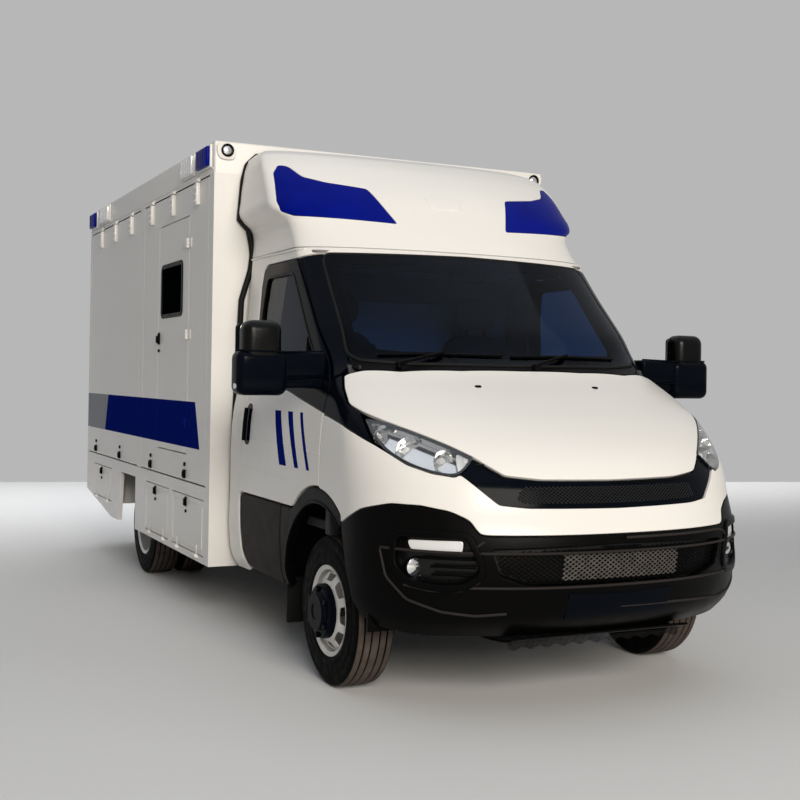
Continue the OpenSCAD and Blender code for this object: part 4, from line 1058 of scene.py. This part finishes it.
HEADLINER = ((-0.830, 0.560), (0.830, 1.360))
back_wall = panel(plane(1, CAB_BACK - BACK_WALL, -1), round_rect((-WALL_X, 0.700), (WALL_X, 2.058), 0.02),
                  BACK_WALL, 0.004, [round_rect(*PASSAGE, 0.03)], 0)
fixed("cab_back_wall", back_wall, lining)
half = [slab(*row) for row in TUB_SIDE] + [rod(TUB_PIN, 0, 0.028, 0.005)]
for z in DOOR_HINGES:
    half.append(rod((HINGE_X, HINGE_Y, z), 2, 0.030, 0.005))
    for end in ENDS:
        low = (TUB_X, HINGE_Y - ARM_T, z + end - ARM_H)
        half.append(slab(low, (HINGE_X, HINGE_Y + ARM_T, z + end + ARM_H), 0.002))
fixed("cab_tub", merge(*[slab(*row) for row in TUB], pair(merge(*half))), dash_grey, "cab_frame")
dash = merge(prism(smooth(DASH, 0.02, (0, 7)), -DASH_HALF, DASH_HALF, 0.012),
             slab((0.270, 0.255, 1.340), (0.590, 0.400, 1.440), 0.030, 4),
             slab((-0.150, 0.300, 0.752), (0.150, 0.430, 1.120), 0.030, 4),
             tube([(0.430, 0.335, 1.200), (0.430, 0.551, 1.325)], 0.026, 20))
fixed("dash", dash, dash_grey, "cab_interior")
seat_pads, seat_feet = [], []
for x in SEATS_X:
    seat_pads.append(pad((x - 0.240, 0.690, 0.955), (x + 0.240, 1.190, 1.105), 4.0))
    seat_pads.append(pad((x - 0.235, 1.085, 1.060), (x + 0.235, 1.225, 1.710), 4.0))
    seat_pads.append(pad((x - 0.135, 1.105, 1.740), (x + 0.135, 1.205, 1.930), 3.0))
    for side in (-1, 1):
        bolster = x + side * 0.195
        stem = x + side * 0.06
        seat_pads.append(pad((bolster - 0.055, 1.045, 1.120), (bolster + 0.055, 1.190, 1.640), 3.0))
        seat_pads.append(pad((bolster - 0.055, 0.720, 1.010), (bolster + 0.055, 1.120, 1.130), 3.0))
        seat_feet.append(tube([(stem, 1.155, 1.680), (stem, 1.155, 1.760)], 0.007))
    seat_feet.append(slab((x - 0.160, 0.770, 0.748), (x + 0.160, 1.130, 0.972), 0.012))
fixed("seat_pads", merge(*seat_pads), trim_cloth)
fixed("seat_feet", merge(*seat_feet), plastic)
fixed("headliner", panel(plane(2, HEADLINER_Z, -1), round_rect(*HEADLINER, 0.04), 0.012, 0.003, grid=0),
      lining)
visors = [slab((x - 0.21, 0.560, 2.010), (x + 0.21, 0.585, 2.080), 0.010) for x in SEATS_X]
fixed("sun_visors", merge(*visors), lining)
inner_mirror = merge(pad((-0.110, 0.420, 1.955), (0.110, 0.450, 2.020), 5.0),
                     tube([(0, 0.440, 2.010), (0, 0.470, 2.065)], 0.007))
fixed("inner_mirror", inner_mirror, plastic)

# Roof fairing, and the seal between cab and box
fairing = Loft([
    (2121, 1475, 1730, 120), (2200, 1535, 1800, 128), (2280, 1600, 1860, 115), (2340, 1650, 1910, 50),
    (2450, 1745, 2000, 45), (2550, 1855, 2080, 55), (2650, 1990, 2180, 75), (2700, 2080, 2250, 100),
    (2735, 2200, 2330, 150)])
FAIRING_REAR = 1.452
FAIRING_FOOT = 2.123
FAIRING_TOP = 2.734
TOP_PLATE_Z = 2.7345
LENS = mm((904, 2560), (866, 2612), (820, 2606), (770, 2537), (657, 2506), (437, 2479), (336, 2270),
          (866, 2297), (920, 2322), (934, 2380))
FIELD = mm((-115, 2445), (115, 2445), (90, 2375), (-90, 2375))
SEAL = mm((917, 345), (958, 492), (972, 723), (971, 1069), (937, 1880), (885, 2057), (875, 2145),
          (882, 2203), (901, 2289), (957, 2346), (937, 2577), (914, 2666), (858, 2721), (600, 2737),
          (0, 2740))
SEAL_R = 0.017
SEAL_Y = 1.436
fairing_loop = whole(
    fairing.front([(0, FAIRING_FOOT), (0.80, FAIRING_FOOT)]),
    fairing.side([(1.0, FAIRING_FOOT), (FAIRING_REAR, FAIRING_FOOT), (FAIRING_REAR, FAIRING_TOP)]),
    fairing.front([(0.8, FAIRING_TOP), (0, FAIRING_TOP)]))
lens_loop = smooth(fairing.from_front(closed(LENS)))
field_loop = smooth(fairing.from_front(closed(FIELD)))
fixed("fairing_field", panel(sunk(fairing, -0.005), field_loop, 0.012, 0.006), paint)
skin = panel(fairing, resample(fairing_loop, 0.014), 0.02, 0.003, [lens_loop, lens_loop * [-1, 1]])
fixed("fairing_skin", skin, paint, "roof_fairing")
lens = panel(fairing, inset(fairing, lens_loop, 0.002), 0.02, 0.004)
fixed("fairing_lens", pair(lens), blue_lens, "blue_lamps")
top_edge = fairing.points(fairing.front([(0, FAIRING_TOP), (0.84, FAIRING_TOP)], 0.03))[:, :2]
top_loop = resample(whole(top_edge, [(0.85, 1.36), (0.85, FAIRING_REAR), (0, FAIRING_REAR)]), 0.02)
fixed("fairing_top", panel(plane(2, TOP_PLATE_Z, 1), top_loop, 0.02, 0.002), paint)
seal_path = [(x, SEAL_Y, z) for x, z in SEAL + [(-x, z) for x, z in SEAL[-2::-1]]]
fixed("box_seal", tube(polyline(seal_path), SEAL_R), rubber_seal)

# Box body; flaps by their corners and the places of hinges and latches
BOX_X = 1.105
BOX_FRONT = 1.455
BOX_REAR = 5.036
BOX_TOP = 2.796
RAIL_Z = 2.608
WALL = 0.060
Flap = namedtuple("Flap", "body low high hinges latches holes")
DOOR_HOLE = round_rect((1.954, 0.954), (2.696, 2.423), 0.03)
FLAPS = [Flap("side_flap_front", (1.551, 0.796), (3.114, 2.602), (1.763, 2.323, 2.870), (1.979, 2.835),
              [DOOR_HOLE]),
         Flap("side_flap_rear", (3.246, 0.796), (4.970, 2.602), (3.487, 4.023, 4.525), (3.794, 4.668), [])]
SIDE_DOOR = ((1.960, 0.960), (2.690, 2.417))
SIDE_WINDOW = round_rect((2.110, 1.825), (2.610, 2.147), 0.03)
SIDE_HINGES = (1.150, 1.690, 2.250)
SIDE_HINGE_Y = 1.957
STRAP = 0.006
STRAP_HALF = 0.028
STRAP_TOP = 2.604
LEAF_HALF = 0.0095
FLAP_STRAP = 0.026
FLAP_AXIS_Z = 2.605
AXIS_X = -1.116
WIDE_GRID = 0.2
side_skin = plane(0, -BOX_X, -1)


def on_wall(y0, z0, y1, z1, out, radius=0.003, segments=2):
    """A raised block on the right side of the box."""
    return slab((-BOX_X - out, y0, z0), (-BOX_X, y1, z1), radius, segments)


def stud(y, z, out, half, radius, count=24):
    """A round head on the right side of the box."""
    return rod((-BOX_X - out, y, z), 0, half, radius, count)


def window_ring(skin, loop):
    return ring_panel(sunk(skin, -0.005), loop, 0.016, 0.012, 0.008, 0.003)


roof = hollow_lid((-BOX_X, BOX_FRONT, RAIL_Z), (BOX_X, BOX_REAR, BOX_TOP), WALL, 0.014)
fixed("box_roof_shell", roof, box_white, "box_roof")
roof_hinges = []
for flap in FLAPS:
    shape = panel(side_skin, round_rect(flap.low, flap.high, 0.012), WALL, 0.006, flap.holes, WIDE_GRID)
    piece(flap.body + "_skin", shape, flap.body, box_white, flap.body)
    straps, latches = [], []
    for y in flap.hinges:
        straps.append(on_wall(y - STRAP_HALF, RAIL_Z - 0.150, y + STRAP_HALF, RAIL_Z - 0.018, FLAP_STRAP,
                              0.005))
        straps.append(on_wall(y - 0.009, RAIL_Z - 0.040, y + 0.009, STRAP_TOP, STRAP))
        straps += barrels((AXIS_X, y, FLAP_AXIS_Z), 1, MIDDLE)
        straps += [stud(y + dy, RAIL_Z - dz, FLAP_STRAP, 0.003, 0.006, 12)
                   for dy in (-0.017, 0.017) for dz in (0.045, 0.085, 0.125)]
        roof_hinges += barrels((AXIS_X, y, FLAP_AXIS_Z), 1, ENDS)
        roof_hinges.append(on_wall(y - STRAP_HALF, RAIL_Z, y + STRAP_HALF, RAIL_Z + 0.022, STRAP))
    piece(flap.body + "_straps", merge(*straps), flap.body, box_trim)
    for y in flap.latches:
        latches.append(on_wall(y - 0.022, 0.808, y + 0.022, 0.862, 0.014, 0.006, 3))
        latches.append(on_wall(y - 0.010, 0.816, y + 0.010, 0.852, 0.020, 0.005, 3))
        latches.append(stud(y, 0.894, 0.004, 0.006, 0.012))
    piece(flap.body + "_latches", merge(*latches), flap.body, plastic)
fixed("roof_hinges", merge(*roof_hinges), box_trim)

door = panel(side_skin, round_rect(*SIDE_DOOR, 0.024), WALL, 0.005, [SIDE_WINDOW], WIDE_GRID)
piece("side_door_skin", door, "side_door", box_white, "side_door")
pane = panel(sunk(side_skin, 0.004), SIDE_WINDOW, 0.006, 0.001, grid=WIDE_GRID)
piece("side_door_pane", pane, "side_door", dark_glass, "side_door_glass")
fittings = merge(window_ring(side_skin, SIDE_WINDOW), on_wall(2.640, 1.640, 2.676, 1.720, 0.012, 0.008, 3),
                 on_wall(2.646, 1.650, 2.668, 1.700, 0.026, 0.008, 3),
                 stud(2.658, 1.600, 0.004, 0.006, 0.010))
piece("side_door_fittings", fittings, "side_door", plastic)
leaves, held = [], []
for z in SIDE_HINGES:
    leaves += barrels((AXIS_X, SIDE_HINGE_Y, z), 2, MIDDLE)
    leaves.append(on_wall(1.963, z - LEAF_HALF, 2.027, z + LEAF_HALF, STRAP))
    held += barrels((AXIS_X, SIDE_HINGE_Y, z), 2, ENDS)
    held.append(on_wall(1.897, z - 0.030, 1.951, z + 0.030, STRAP))
leaves.append(on_wall(1.975, 2.225, 2.085, 2.285, 0.010, 0.004))
piece("side_door_leaves", merge(*leaves), "side_door", box_white)
piece("side_door_hinges", merge(*held), "side_flap_front", box_white)
piece("side_door_seal", ring_panel(sunk(side_skin, 0.020), DOOR_HOLE, 0.0, 0.012, 0.02), "side_flap_front",
      rubber_seal)

# Rail along the roof, its lamps and the lamps on the front corners
LAMPS = [("blue", 1.500, 1.756), ("white", 1.837, 2.108), ("white", 4.256, 4.561), ("blue", 4.740, 4.970)]
LAMP_LOW, LAMP_HIGH = 2.645, 2.780
LAMP_BASE, LAMP_OUT = 0.014, 0.034
LAMP_EDGE = 0.010
BRACKET = mm((978, 2700), (1015, 2684), (1075, 2690), (1094, 2720), (1096, 2784), (1040, 2790), (985, 2765))
BRACKET_OUT = 0.016
CORNER_LAMP = (1.034, BOX_FRONT - BRACKET_OUT, 2.740)
CORNER_RING = mm((26, 0), (36, 0), (38, -6), (34, -10), (28, -8), (26, -3))
CORNER_LENS = [(TINY, -0.009), (0.015, -0.008), (0.026, -0.003), (0.026, 0.0), (TINY, 0.0)]
rail_edge = slab((BOX_X - 0.002, BOX_FRONT + 0.02, RAIL_Z + 0.0235),
                 (BOX_X + 0.005, BOX_REAR - 0.02, RAIL_Z + 0.0335), 0.002)
fixed("rail_edges", pair(rail_edge), box_trim)
bases, glasses = [], {"blue": [], "white": []}
for colour, y0, y1 in LAMPS:
    bases.append(slab((BOX_X, y0, LAMP_LOW), (BOX_X + LAMP_BASE, y1, LAMP_HIGH)))
    glasses[colour].append(slab((BOX_X + LAMP_EDGE, y0 + LAMP_EDGE, LAMP_LOW + LAMP_EDGE),
                                (BOX_X + LAMP_OUT, y1 - LAMP_EDGE, LAMP_HIGH - LAMP_EDGE), 0.009, 4))
    glasses[colour] += [slab((BOX_X + LAMP_OUT - 0.004, y - 0.003, LAMP_LOW + 0.020),
                             (BOX_X + LAMP_OUT + 0.0015, y + 0.003, LAMP_HIGH - 0.020), 0.001, 1)
                        for y in np.linspace(y0 + 0.05, y1 - 0.05, 5)]
fixed("side_lamp_bases", pair(merge(*bases)), box_trim)
fixed("side_lamps_blue", pair(merge(*glasses["blue"])), blue_lens)
fixed("side_lamps_white", pair(merge(*glasses["white"])), lamp_white)
bracket = panel(plane(1, BOX_FRONT - BRACKET_OUT, -1), smooth(BRACKET, 0.008), BRACKET_OUT, 0.005, grid=0)
fixed("corner_brackets", pair(bracket), box_trim)
fixed("corner_lamp_rings", pair(lathe(CORNER_RING, CORNER_LAMP, 1, 40)), plastic)
fixed("corner_lamps", pair(lathe(CORNER_LENS, CORNER_LAMP, 1, 32)), chrome)

# Lockers
Locker = namedtuple("Locker", "body y width z handle")
LOCKERS = [Locker("locker_door_front", 1.556, 0.718, 0.380, 1.938),
           Locker("locker_door_middle", 2.356, 0.619, 0.380, 2.693),
           Locker("locker_door_rear", 4.070, 0.680, 0.455, 4.432)]
LOCKER_TOP = 0.712
LOCKER_GAP = 0.006
LOCKER_RIM = 0.035


def locker_loop(locker, margin, radius):
    return round_rect((locker.y + margin, locker.z + margin),
                      (locker.y + locker.width - margin, LOCKER_TOP - margin), radius)


for locker in LOCKERS:
    rim = side_skin(resample(locker_loop(locker, LOCKER_RIM, 0.02), 0.02))[0]
    parts = [panel(side_skin, locker_loop(locker, LOCKER_GAP, 0.012), 0.025, 0.005, grid=WIDE_GRID),
             tube(rim, 0.003, 6, True)]
    for share in (0.2, 0.8):
        y = locker.y + share * locker.width
        parts += barrels((AXIS_X, y, locker.z - 0.003), 1, MIDDLE)
        parts.append(on_wall(y - LEAF_HALF, locker.z, y + LEAF_HALF, locker.z + 0.057, STRAP))
    piece(locker.body + "_skin", merge(*parts), locker.body, box_white, locker.body)
    y = locker.handle
    handle = merge(on_wall(y - 0.014, 0.640, y + 0.014, 0.700, 0.010, 0.005, 3),
                   on_wall(y - 0.008, 0.646, y + 0.008, 0.690, 0.020, 0.005, 3),
                   stud(y, 0.612, 0.003, 0.005, 0.010))
    piece(locker.body + "_handle", handle, locker.body, plastic)

# Rear doors, their windows and lamps
REAR_BODY = "rear_door_{}"
REAR_DOOR = ((0.006, 0.876), (1.039, 2.602))
REAR_WINDOW = round_rect((0.250, 1.650), (0.810, 2.210), 0.03)
REAR_HINGES = (1.050, 1.750, 2.450)
REAR_AXIS_X, REAR_AXIS_Y = 1.048, 5.047
TAIL_LOW, TAIL_HIGH = 0.560, 0.680
TAIL_PARTS = [("red", 0.775, 0.895), ("amber", 0.898, 0.972), ("white", 0.975, 1.045)]
rear_skin = plane(1, BOX_REAR, 1)


def on_rear(x0, z0, x1, z1, base, out, radius=0.004, segments=3):
    """A raised block on the rear of the box, between two distances from it."""
    return slab((x0, BOX_REAR + base, z0), (x1, BOX_REAR + out, z1), radius, segments)


leaf = [panel(rear_skin, round_rect(*REAR_DOOR, 0.02), WALL, 0.005, [REAR_WINDOW], WIDE_GRID)]
for z in REAR_HINGES:
    leaf += barrels((REAR_AXIS_X, REAR_AXIS_Y, z), 2, MIDDLE)
    leaf.append(on_rear(0.900, z - LEAF_HALF, 1.042, z + LEAF_HALF, 0, STRAP, 0.002))
per_side("rear_door_{}_skin", merge(*leaf), REAR_BODY, box_white, REAR_BODY)
per_side("rear_door_{}_pane", panel(sunk(rear_skin, 0.004), REAR_WINDOW, 0.006, 0.001, grid=0), REAR_BODY,
         dark_glass, "rear_glass_{}")
grab = [(0.140, BOX_REAR + out, z) for out, z in ((0, 1.10), (0.022, 1.105), (0.024, 1.30), (0, 1.305))]
fittings = merge(window_ring(rear_skin, REAR_WINDOW), on_rear(0.030, 1.380, 0.070, 1.500, 0, 0.012, 0.008),
                 on_rear(0.038, 1.400, 0.062, 1.480, 0.008, 0.028, 0.008), tube(grab, 0.009))
per_side("rear_door_{}_fittings", fittings, REAR_BODY, plastic)
tails = {colour: [on_rear(x0, TAIL_LOW, x1, TAIL_HIGH, 0.004, 0.024, 0.006)]
         for colour, x0, x1 in TAIL_PARTS}
tails["red"].insert(0, on_rear(0.775, 2.686, 0.985, 2.756, 0, 0.022, 0.008))
fixed("tail_lamps_red", pair(merge(*tails["red"])), red_lens, "tail_lamps")
fixed("tail_lamps_amber", pair(merge(*tails["amber"])), amber_lens)
fixed("tail_lamps_white", pair(merge(*tails["white"])), lamp_white)
fixed("tail_lamp_bases", pair(on_rear(0.768, 0.553, 1.052, 0.687, 0, 0.008)), plastic)
fixed("rear_plate_place", on_rear(-0.262, 0.580, 0.262, 0.692, -0.028, -0.020), gloss_black)

# Wheels: place across and along, and where the disc sits across the tyre
Wheel = namedtuple("Wheel", "x y disc")
FRONT = Wheel(0.8625, 0.0, 0.100)
REAR = Wheel(0.8995, 3.45, -0.066)
TWIN_STEP = 0.230
INNER = Wheel(REAR.x - TWIN_STEP, REAR.y, -REAR.disc)
GROOVES = (0.055, 0.020, -0.020, -0.055)
GROOVE_HALF = 0.0045
GROOVE_DEPTH = 0.010
TYRE_SIDE = mm((204, 83), (212, 88.5), (218, 93.5), (230, 96.2), (242, 97.2), (244, 96.2), (262, 97.5),
               (290, 97.5), (292.5, 96), (312, 96.2), (320, 97), (331, 93.5), (340, 88), (345.5, 80))
RIM_BARREL = mm((190, -86), (211, -94.5), (211.5, -91), (203, -86.5), (203, 86.5), (211.5, 91), (211, 94.5),
                (190, 86))
DISC_R = 0.195
DISC_LINE = np.array([(0.000, 0.006), (0.110, 0.006), (0.124, 0.006), (0.140, -0.003), (0.180, -0.030),
                      (0.190, -0.040), (0.196, -0.052)])
HUB_OUT = 0.062
HOLES = 8
HOLE_CORNERS = [(0.146, -0.25), (0.146, 0.25), (0.180, 0.27), (0.180, -0.27)]
NUTS = 6
NUT_RING = 0.109
NUT_OUT = 0.046
NUT = [(TINY, -0.010), (0.014, -0.010), (0.014, 0.006), (0.010, 0.010), (TINY, 0.010)]
HEAVY = 96


def middle(wheel):
    return wheel.x, wheel.y, TYRE_R


def tyre(wheel):
    tread = []
    for g in GROOVES:
        near, far = g + GROOVE_HALF, g - GROOVE_HALF
        for x, cut in ((near + 0.001, 0), (near, 0.002), (near - 0.002, GROOVE_DEPTH),
                       (far + 0.002, GROOVE_DEPTH), (far, 0.002), (far - 0.001, 0)):
            tread.append((TYRE_R - 0.003 * (x / 0.08) ** 2 - cut, x))
    return lathe(TYRE_SIDE + tread + [(r, -x) for r, x in reversed(TYRE_SIDE)], middle(wheel), count=HEAVY)


def dish(wheel):
    """Surface of a wheel disc: place across the wheel by distance from its middle."""
    def surface(uv):
        r = np.linalg.norm(uv, axis=1)
        slope = (np.interp(r + 2e-3, *DISC_LINE.T) - np.interp(r - 2e-3, *DISC_LINE.T)) / 4e-3
        lean = slope / np.maximum(r, 1e-6)
        across = wheel.x + wheel.disc + np.interp(r, *DISC_LINE.T)
        p = np.stack([across, wheel.y + uv[:, 0], TYRE_R + uv[:, 1]], 1)
        return p, unit(np.stack([np.ones(len(uv)), -lean * uv[:, 0], -lean * uv[:, 1]], 1))
    return surface


def rim(wheel):
    loops = []
    for k in range(HOLES):
        turn = 2 * math.pi * k / HOLES
        loop = [(r * math.cos(turn + a), r * math.sin(turn + a)) for r, a in HOLE_CORNERS]
        loops.append(resample(chaikin(closed(loop, 0.01), rounds=2), 0.004))
    face = panel(dish(wheel), circle((0, 0), DISC_R, 72), 0.008, 0.002, loops, 0.012)
    return merge(lathe(RIM_BARREL, middle(wheel), count=HEAVY), face)


def nuts(wheel):
    shapes = []
    for k in range(NUTS):
        a = 2 * math.pi * (k + 0.5) / NUTS
        at = (wheel.x + wheel.disc + NUT_OUT, wheel.y + NUT_RING * math.cos(a),
              TYRE_R + NUT_RING * math.sin(a))
        shapes.append(lathe(NUT, at, 0, 6))
    return merge(*shapes)


def hub(wheel):
    start, out = wheel.disc, wheel.disc + HUB_OUT
    profile = [(0.001, start), (0.128, start), (0.127, start + 0.030), (0.118, start + 0.040),
               (0.100, start + 0.042), (0.094, out - 0.008), (0.086, out), (0.040, out),
               (0.034, out - 0.005), (0.001, out - 0.005)]
    return lathe(profile, middle(wheel), count=48)


for wheel, end, wheels in ((FRONT, "front", "front_wheel_{}"), (REAR, "rear", "rear_wheels_{}")):
    per_side("hub_" + end + "_{}", hub(wheel), wheels, gloss_black)
    per_side("nuts_" + end + "_{}", nuts(wheel), wheels, gloss_black)
front_rubber = tyre_finish("tyre_rubber_front", FRONT.y)
rear_rubber = tyre_finish("tyre_rubber_rear", REAR.y)
per_side("tyre_front_{}", tyre(FRONT), "front_wheel_{}", front_rubber, "front_tyre_{}")
per_side("rim_front_{}", rim(FRONT), "front_wheel_{}", silver, "front_rim_{}")
per_side("tyres_rear_{}", merge(tyre(REAR), tyre(INNER)), "rear_wheels_{}", rear_rubber, "rear_tyres_{}")
per_side("rims_rear_{}", merge(rim(REAR), rim(INNER)), "rear_wheels_{}", silver, "rear_rims_{}")

# Finishes of the solids that stay
KEPT = {
    chassis_black: ["chassis_frame", "front_axle", "rear_axle", "tank_and_exhaust", "hood_hinges",
                    "rear_step"],
    engine_metal: ["engine"],
    iron: ["knuckle_right", "knuckle_left"],
    plastic: ["steering_wheel"],
    box_white: ["box_front_wall", "box_frame", "box_wall_left", "skirts"],
    floor_board: ["box_floor"],
}
EDGE_ROUND = 0.003
for look, names in KEPT.items():
    for solid in [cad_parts[name] for name in names]:
        solid.data.materials.clear()
        solid.data.materials.append(look.material)
        soften = solid.modifiers.new("edges", "BEVEL")
        soften.width = EDGE_ROUND
        soften.segments = 2
        soften.limit_method = "ANGLE"

# Camera at the photograph's place
CAMERA_AT = np.array([-3.068, -5.145, 1.438])
YAW, PITCH, ROLL = np.radians([25.618, 0.555, 0.85])
FOCAL_PX = 1184.353
FRAME_PX = 800
AXIS_ROW = 367.182
SENSOR = 36.0
forward = np.array([math.sin(YAW) * math.cos(PITCH), math.cos(YAW) * math.cos(PITCH), math.sin(PITCH)])
level = np.array([math.cos(YAW), -math.sin(YAW), 0])
rise = np.cross(level, forward)
right = level * math.cos(ROLL) + rise * math.sin(ROLL)
upward = -level * math.sin(ROLL) + rise * math.cos(ROLL)
camera = bpy.data.objects.new("camera", bpy.data.cameras.new("camera"))
turn = Matrix((right, upward, -forward)).transposed().to_4x4()
camera.matrix_world = Matrix.Translation(Vector(CAMERA_AT + AXLE)) @ turn
camera.data.sensor_width = SENSOR
camera.data.lens = FOCAL_PX / FRAME_PX * SENSOR
camera.data.shift_y = -(FRAME_PX / 2 - AXIS_ROW) / FRAME_PX
camera.data.clip_end = 200
bpy.context.scene.collection.objects.link(camera)
bpy.context.scene.camera = camera

# Floor that ends where the wall of the studio begins
FLOOR_DEPTH = 16.5
FLOOR_REACH = 40.0
FLOOR_SKEW = 0.17
ahead = unit(forward * [1, 1, 0])
start = CAMERA_AT * [1, 1, 0] + AXLE
skew = FLOOR_SKEW * FLOOR_REACH
corners = [start + ahead * d + level * s for d, s in
           ((FLOOR_DEPTH - skew, -FLOOR_REACH), (FLOOR_DEPTH + skew, FLOOR_REACH),
            (-FLOOR_REACH, FLOOR_REACH), (-FLOOR_REACH, -FLOOR_REACH))]
ground = bpy.data.meshes.new("floor")
ground.from_pydata([tuple(c) for c in corners], [], [(3, 2, 1, 0)])
pale = finish("studio_floor", (0.80, 0.80, 0.80), 0.7, vary=0.01, scale=0.3, grain=40, bump=0.02)
ground.materials.append(pale.material)
floor = bpy.data.objects.new("floor", ground)
bpy.context.scene.collection.objects.link(floor)


def area_light(name, place, target, size, power, colour, spread=180):
    data = bpy.data.lights.new(name, "AREA")
    data.shape = "RECTANGLE"
    data.size, data.size_y = size
    data.energy = power
    data.color = colour
    data.spread = math.radians(spread)
    lamp = bpy.data.objects.new(name, data)
    at = Vector(np.array(place) + AXLE)
    lamp.location = at
    lamp.rotation_euler = (Vector(np.array(target) + AXLE) - at).to_track_quat("-Z", "Y").to_euler()
    bpy.context.scene.collection.objects.link(lamp)


area_light("key", (-3.0, -18.6, 8.2), (0, 0.5, 1.4), (11, 7), 3850, (1.0, 0.93, 0.83))
area_light("top", (-1.0, 0.0, 9.0), (0.0, 0.5, 0), (14, 14), 300, (0.78, 0.88, 1.0))
area_light("floor_light", (3.4, 9.0, 4.5), (3.4, 9.0, 0), (18, 6), 300, (1.0, 1.0, 1.0), 100)

# Wall of the studio, seen by the camera, in reflections and through glass, and a faint light all round
WORLD_LIGHT = 0.08
world = bpy.data.worlds.new("studio")
bpy.context.scene.world = world
world.use_nodes = True
tree = world.node_tree
back = tree.nodes["Background"]
put(tree, back.inputs["Color"], (0.475, 0.475, 0.478))
lit = node(tree, "Background", {"Color": (0.9, 0.92, 0.95), "Strength": WORLD_LIGHT})
seen = node(tree, "LightPath", {}, "Is Camera Ray")
for ray in ("Is Glossy Ray", "Is Transmission Ray"):
    seen = node(tree, "Math", {0: seen, 1: node(tree, "LightPath", {}, ray)}, operation="MAXIMUM")
shown = node(tree, "MixShader", {"Fac": seen, 1: lit, 2: back.outputs["Background"]})
put(tree, tree.nodes["World Output"].inputs["Surface"], shown)
bpy.context.scene.view_settings.view_transform = "Standard"
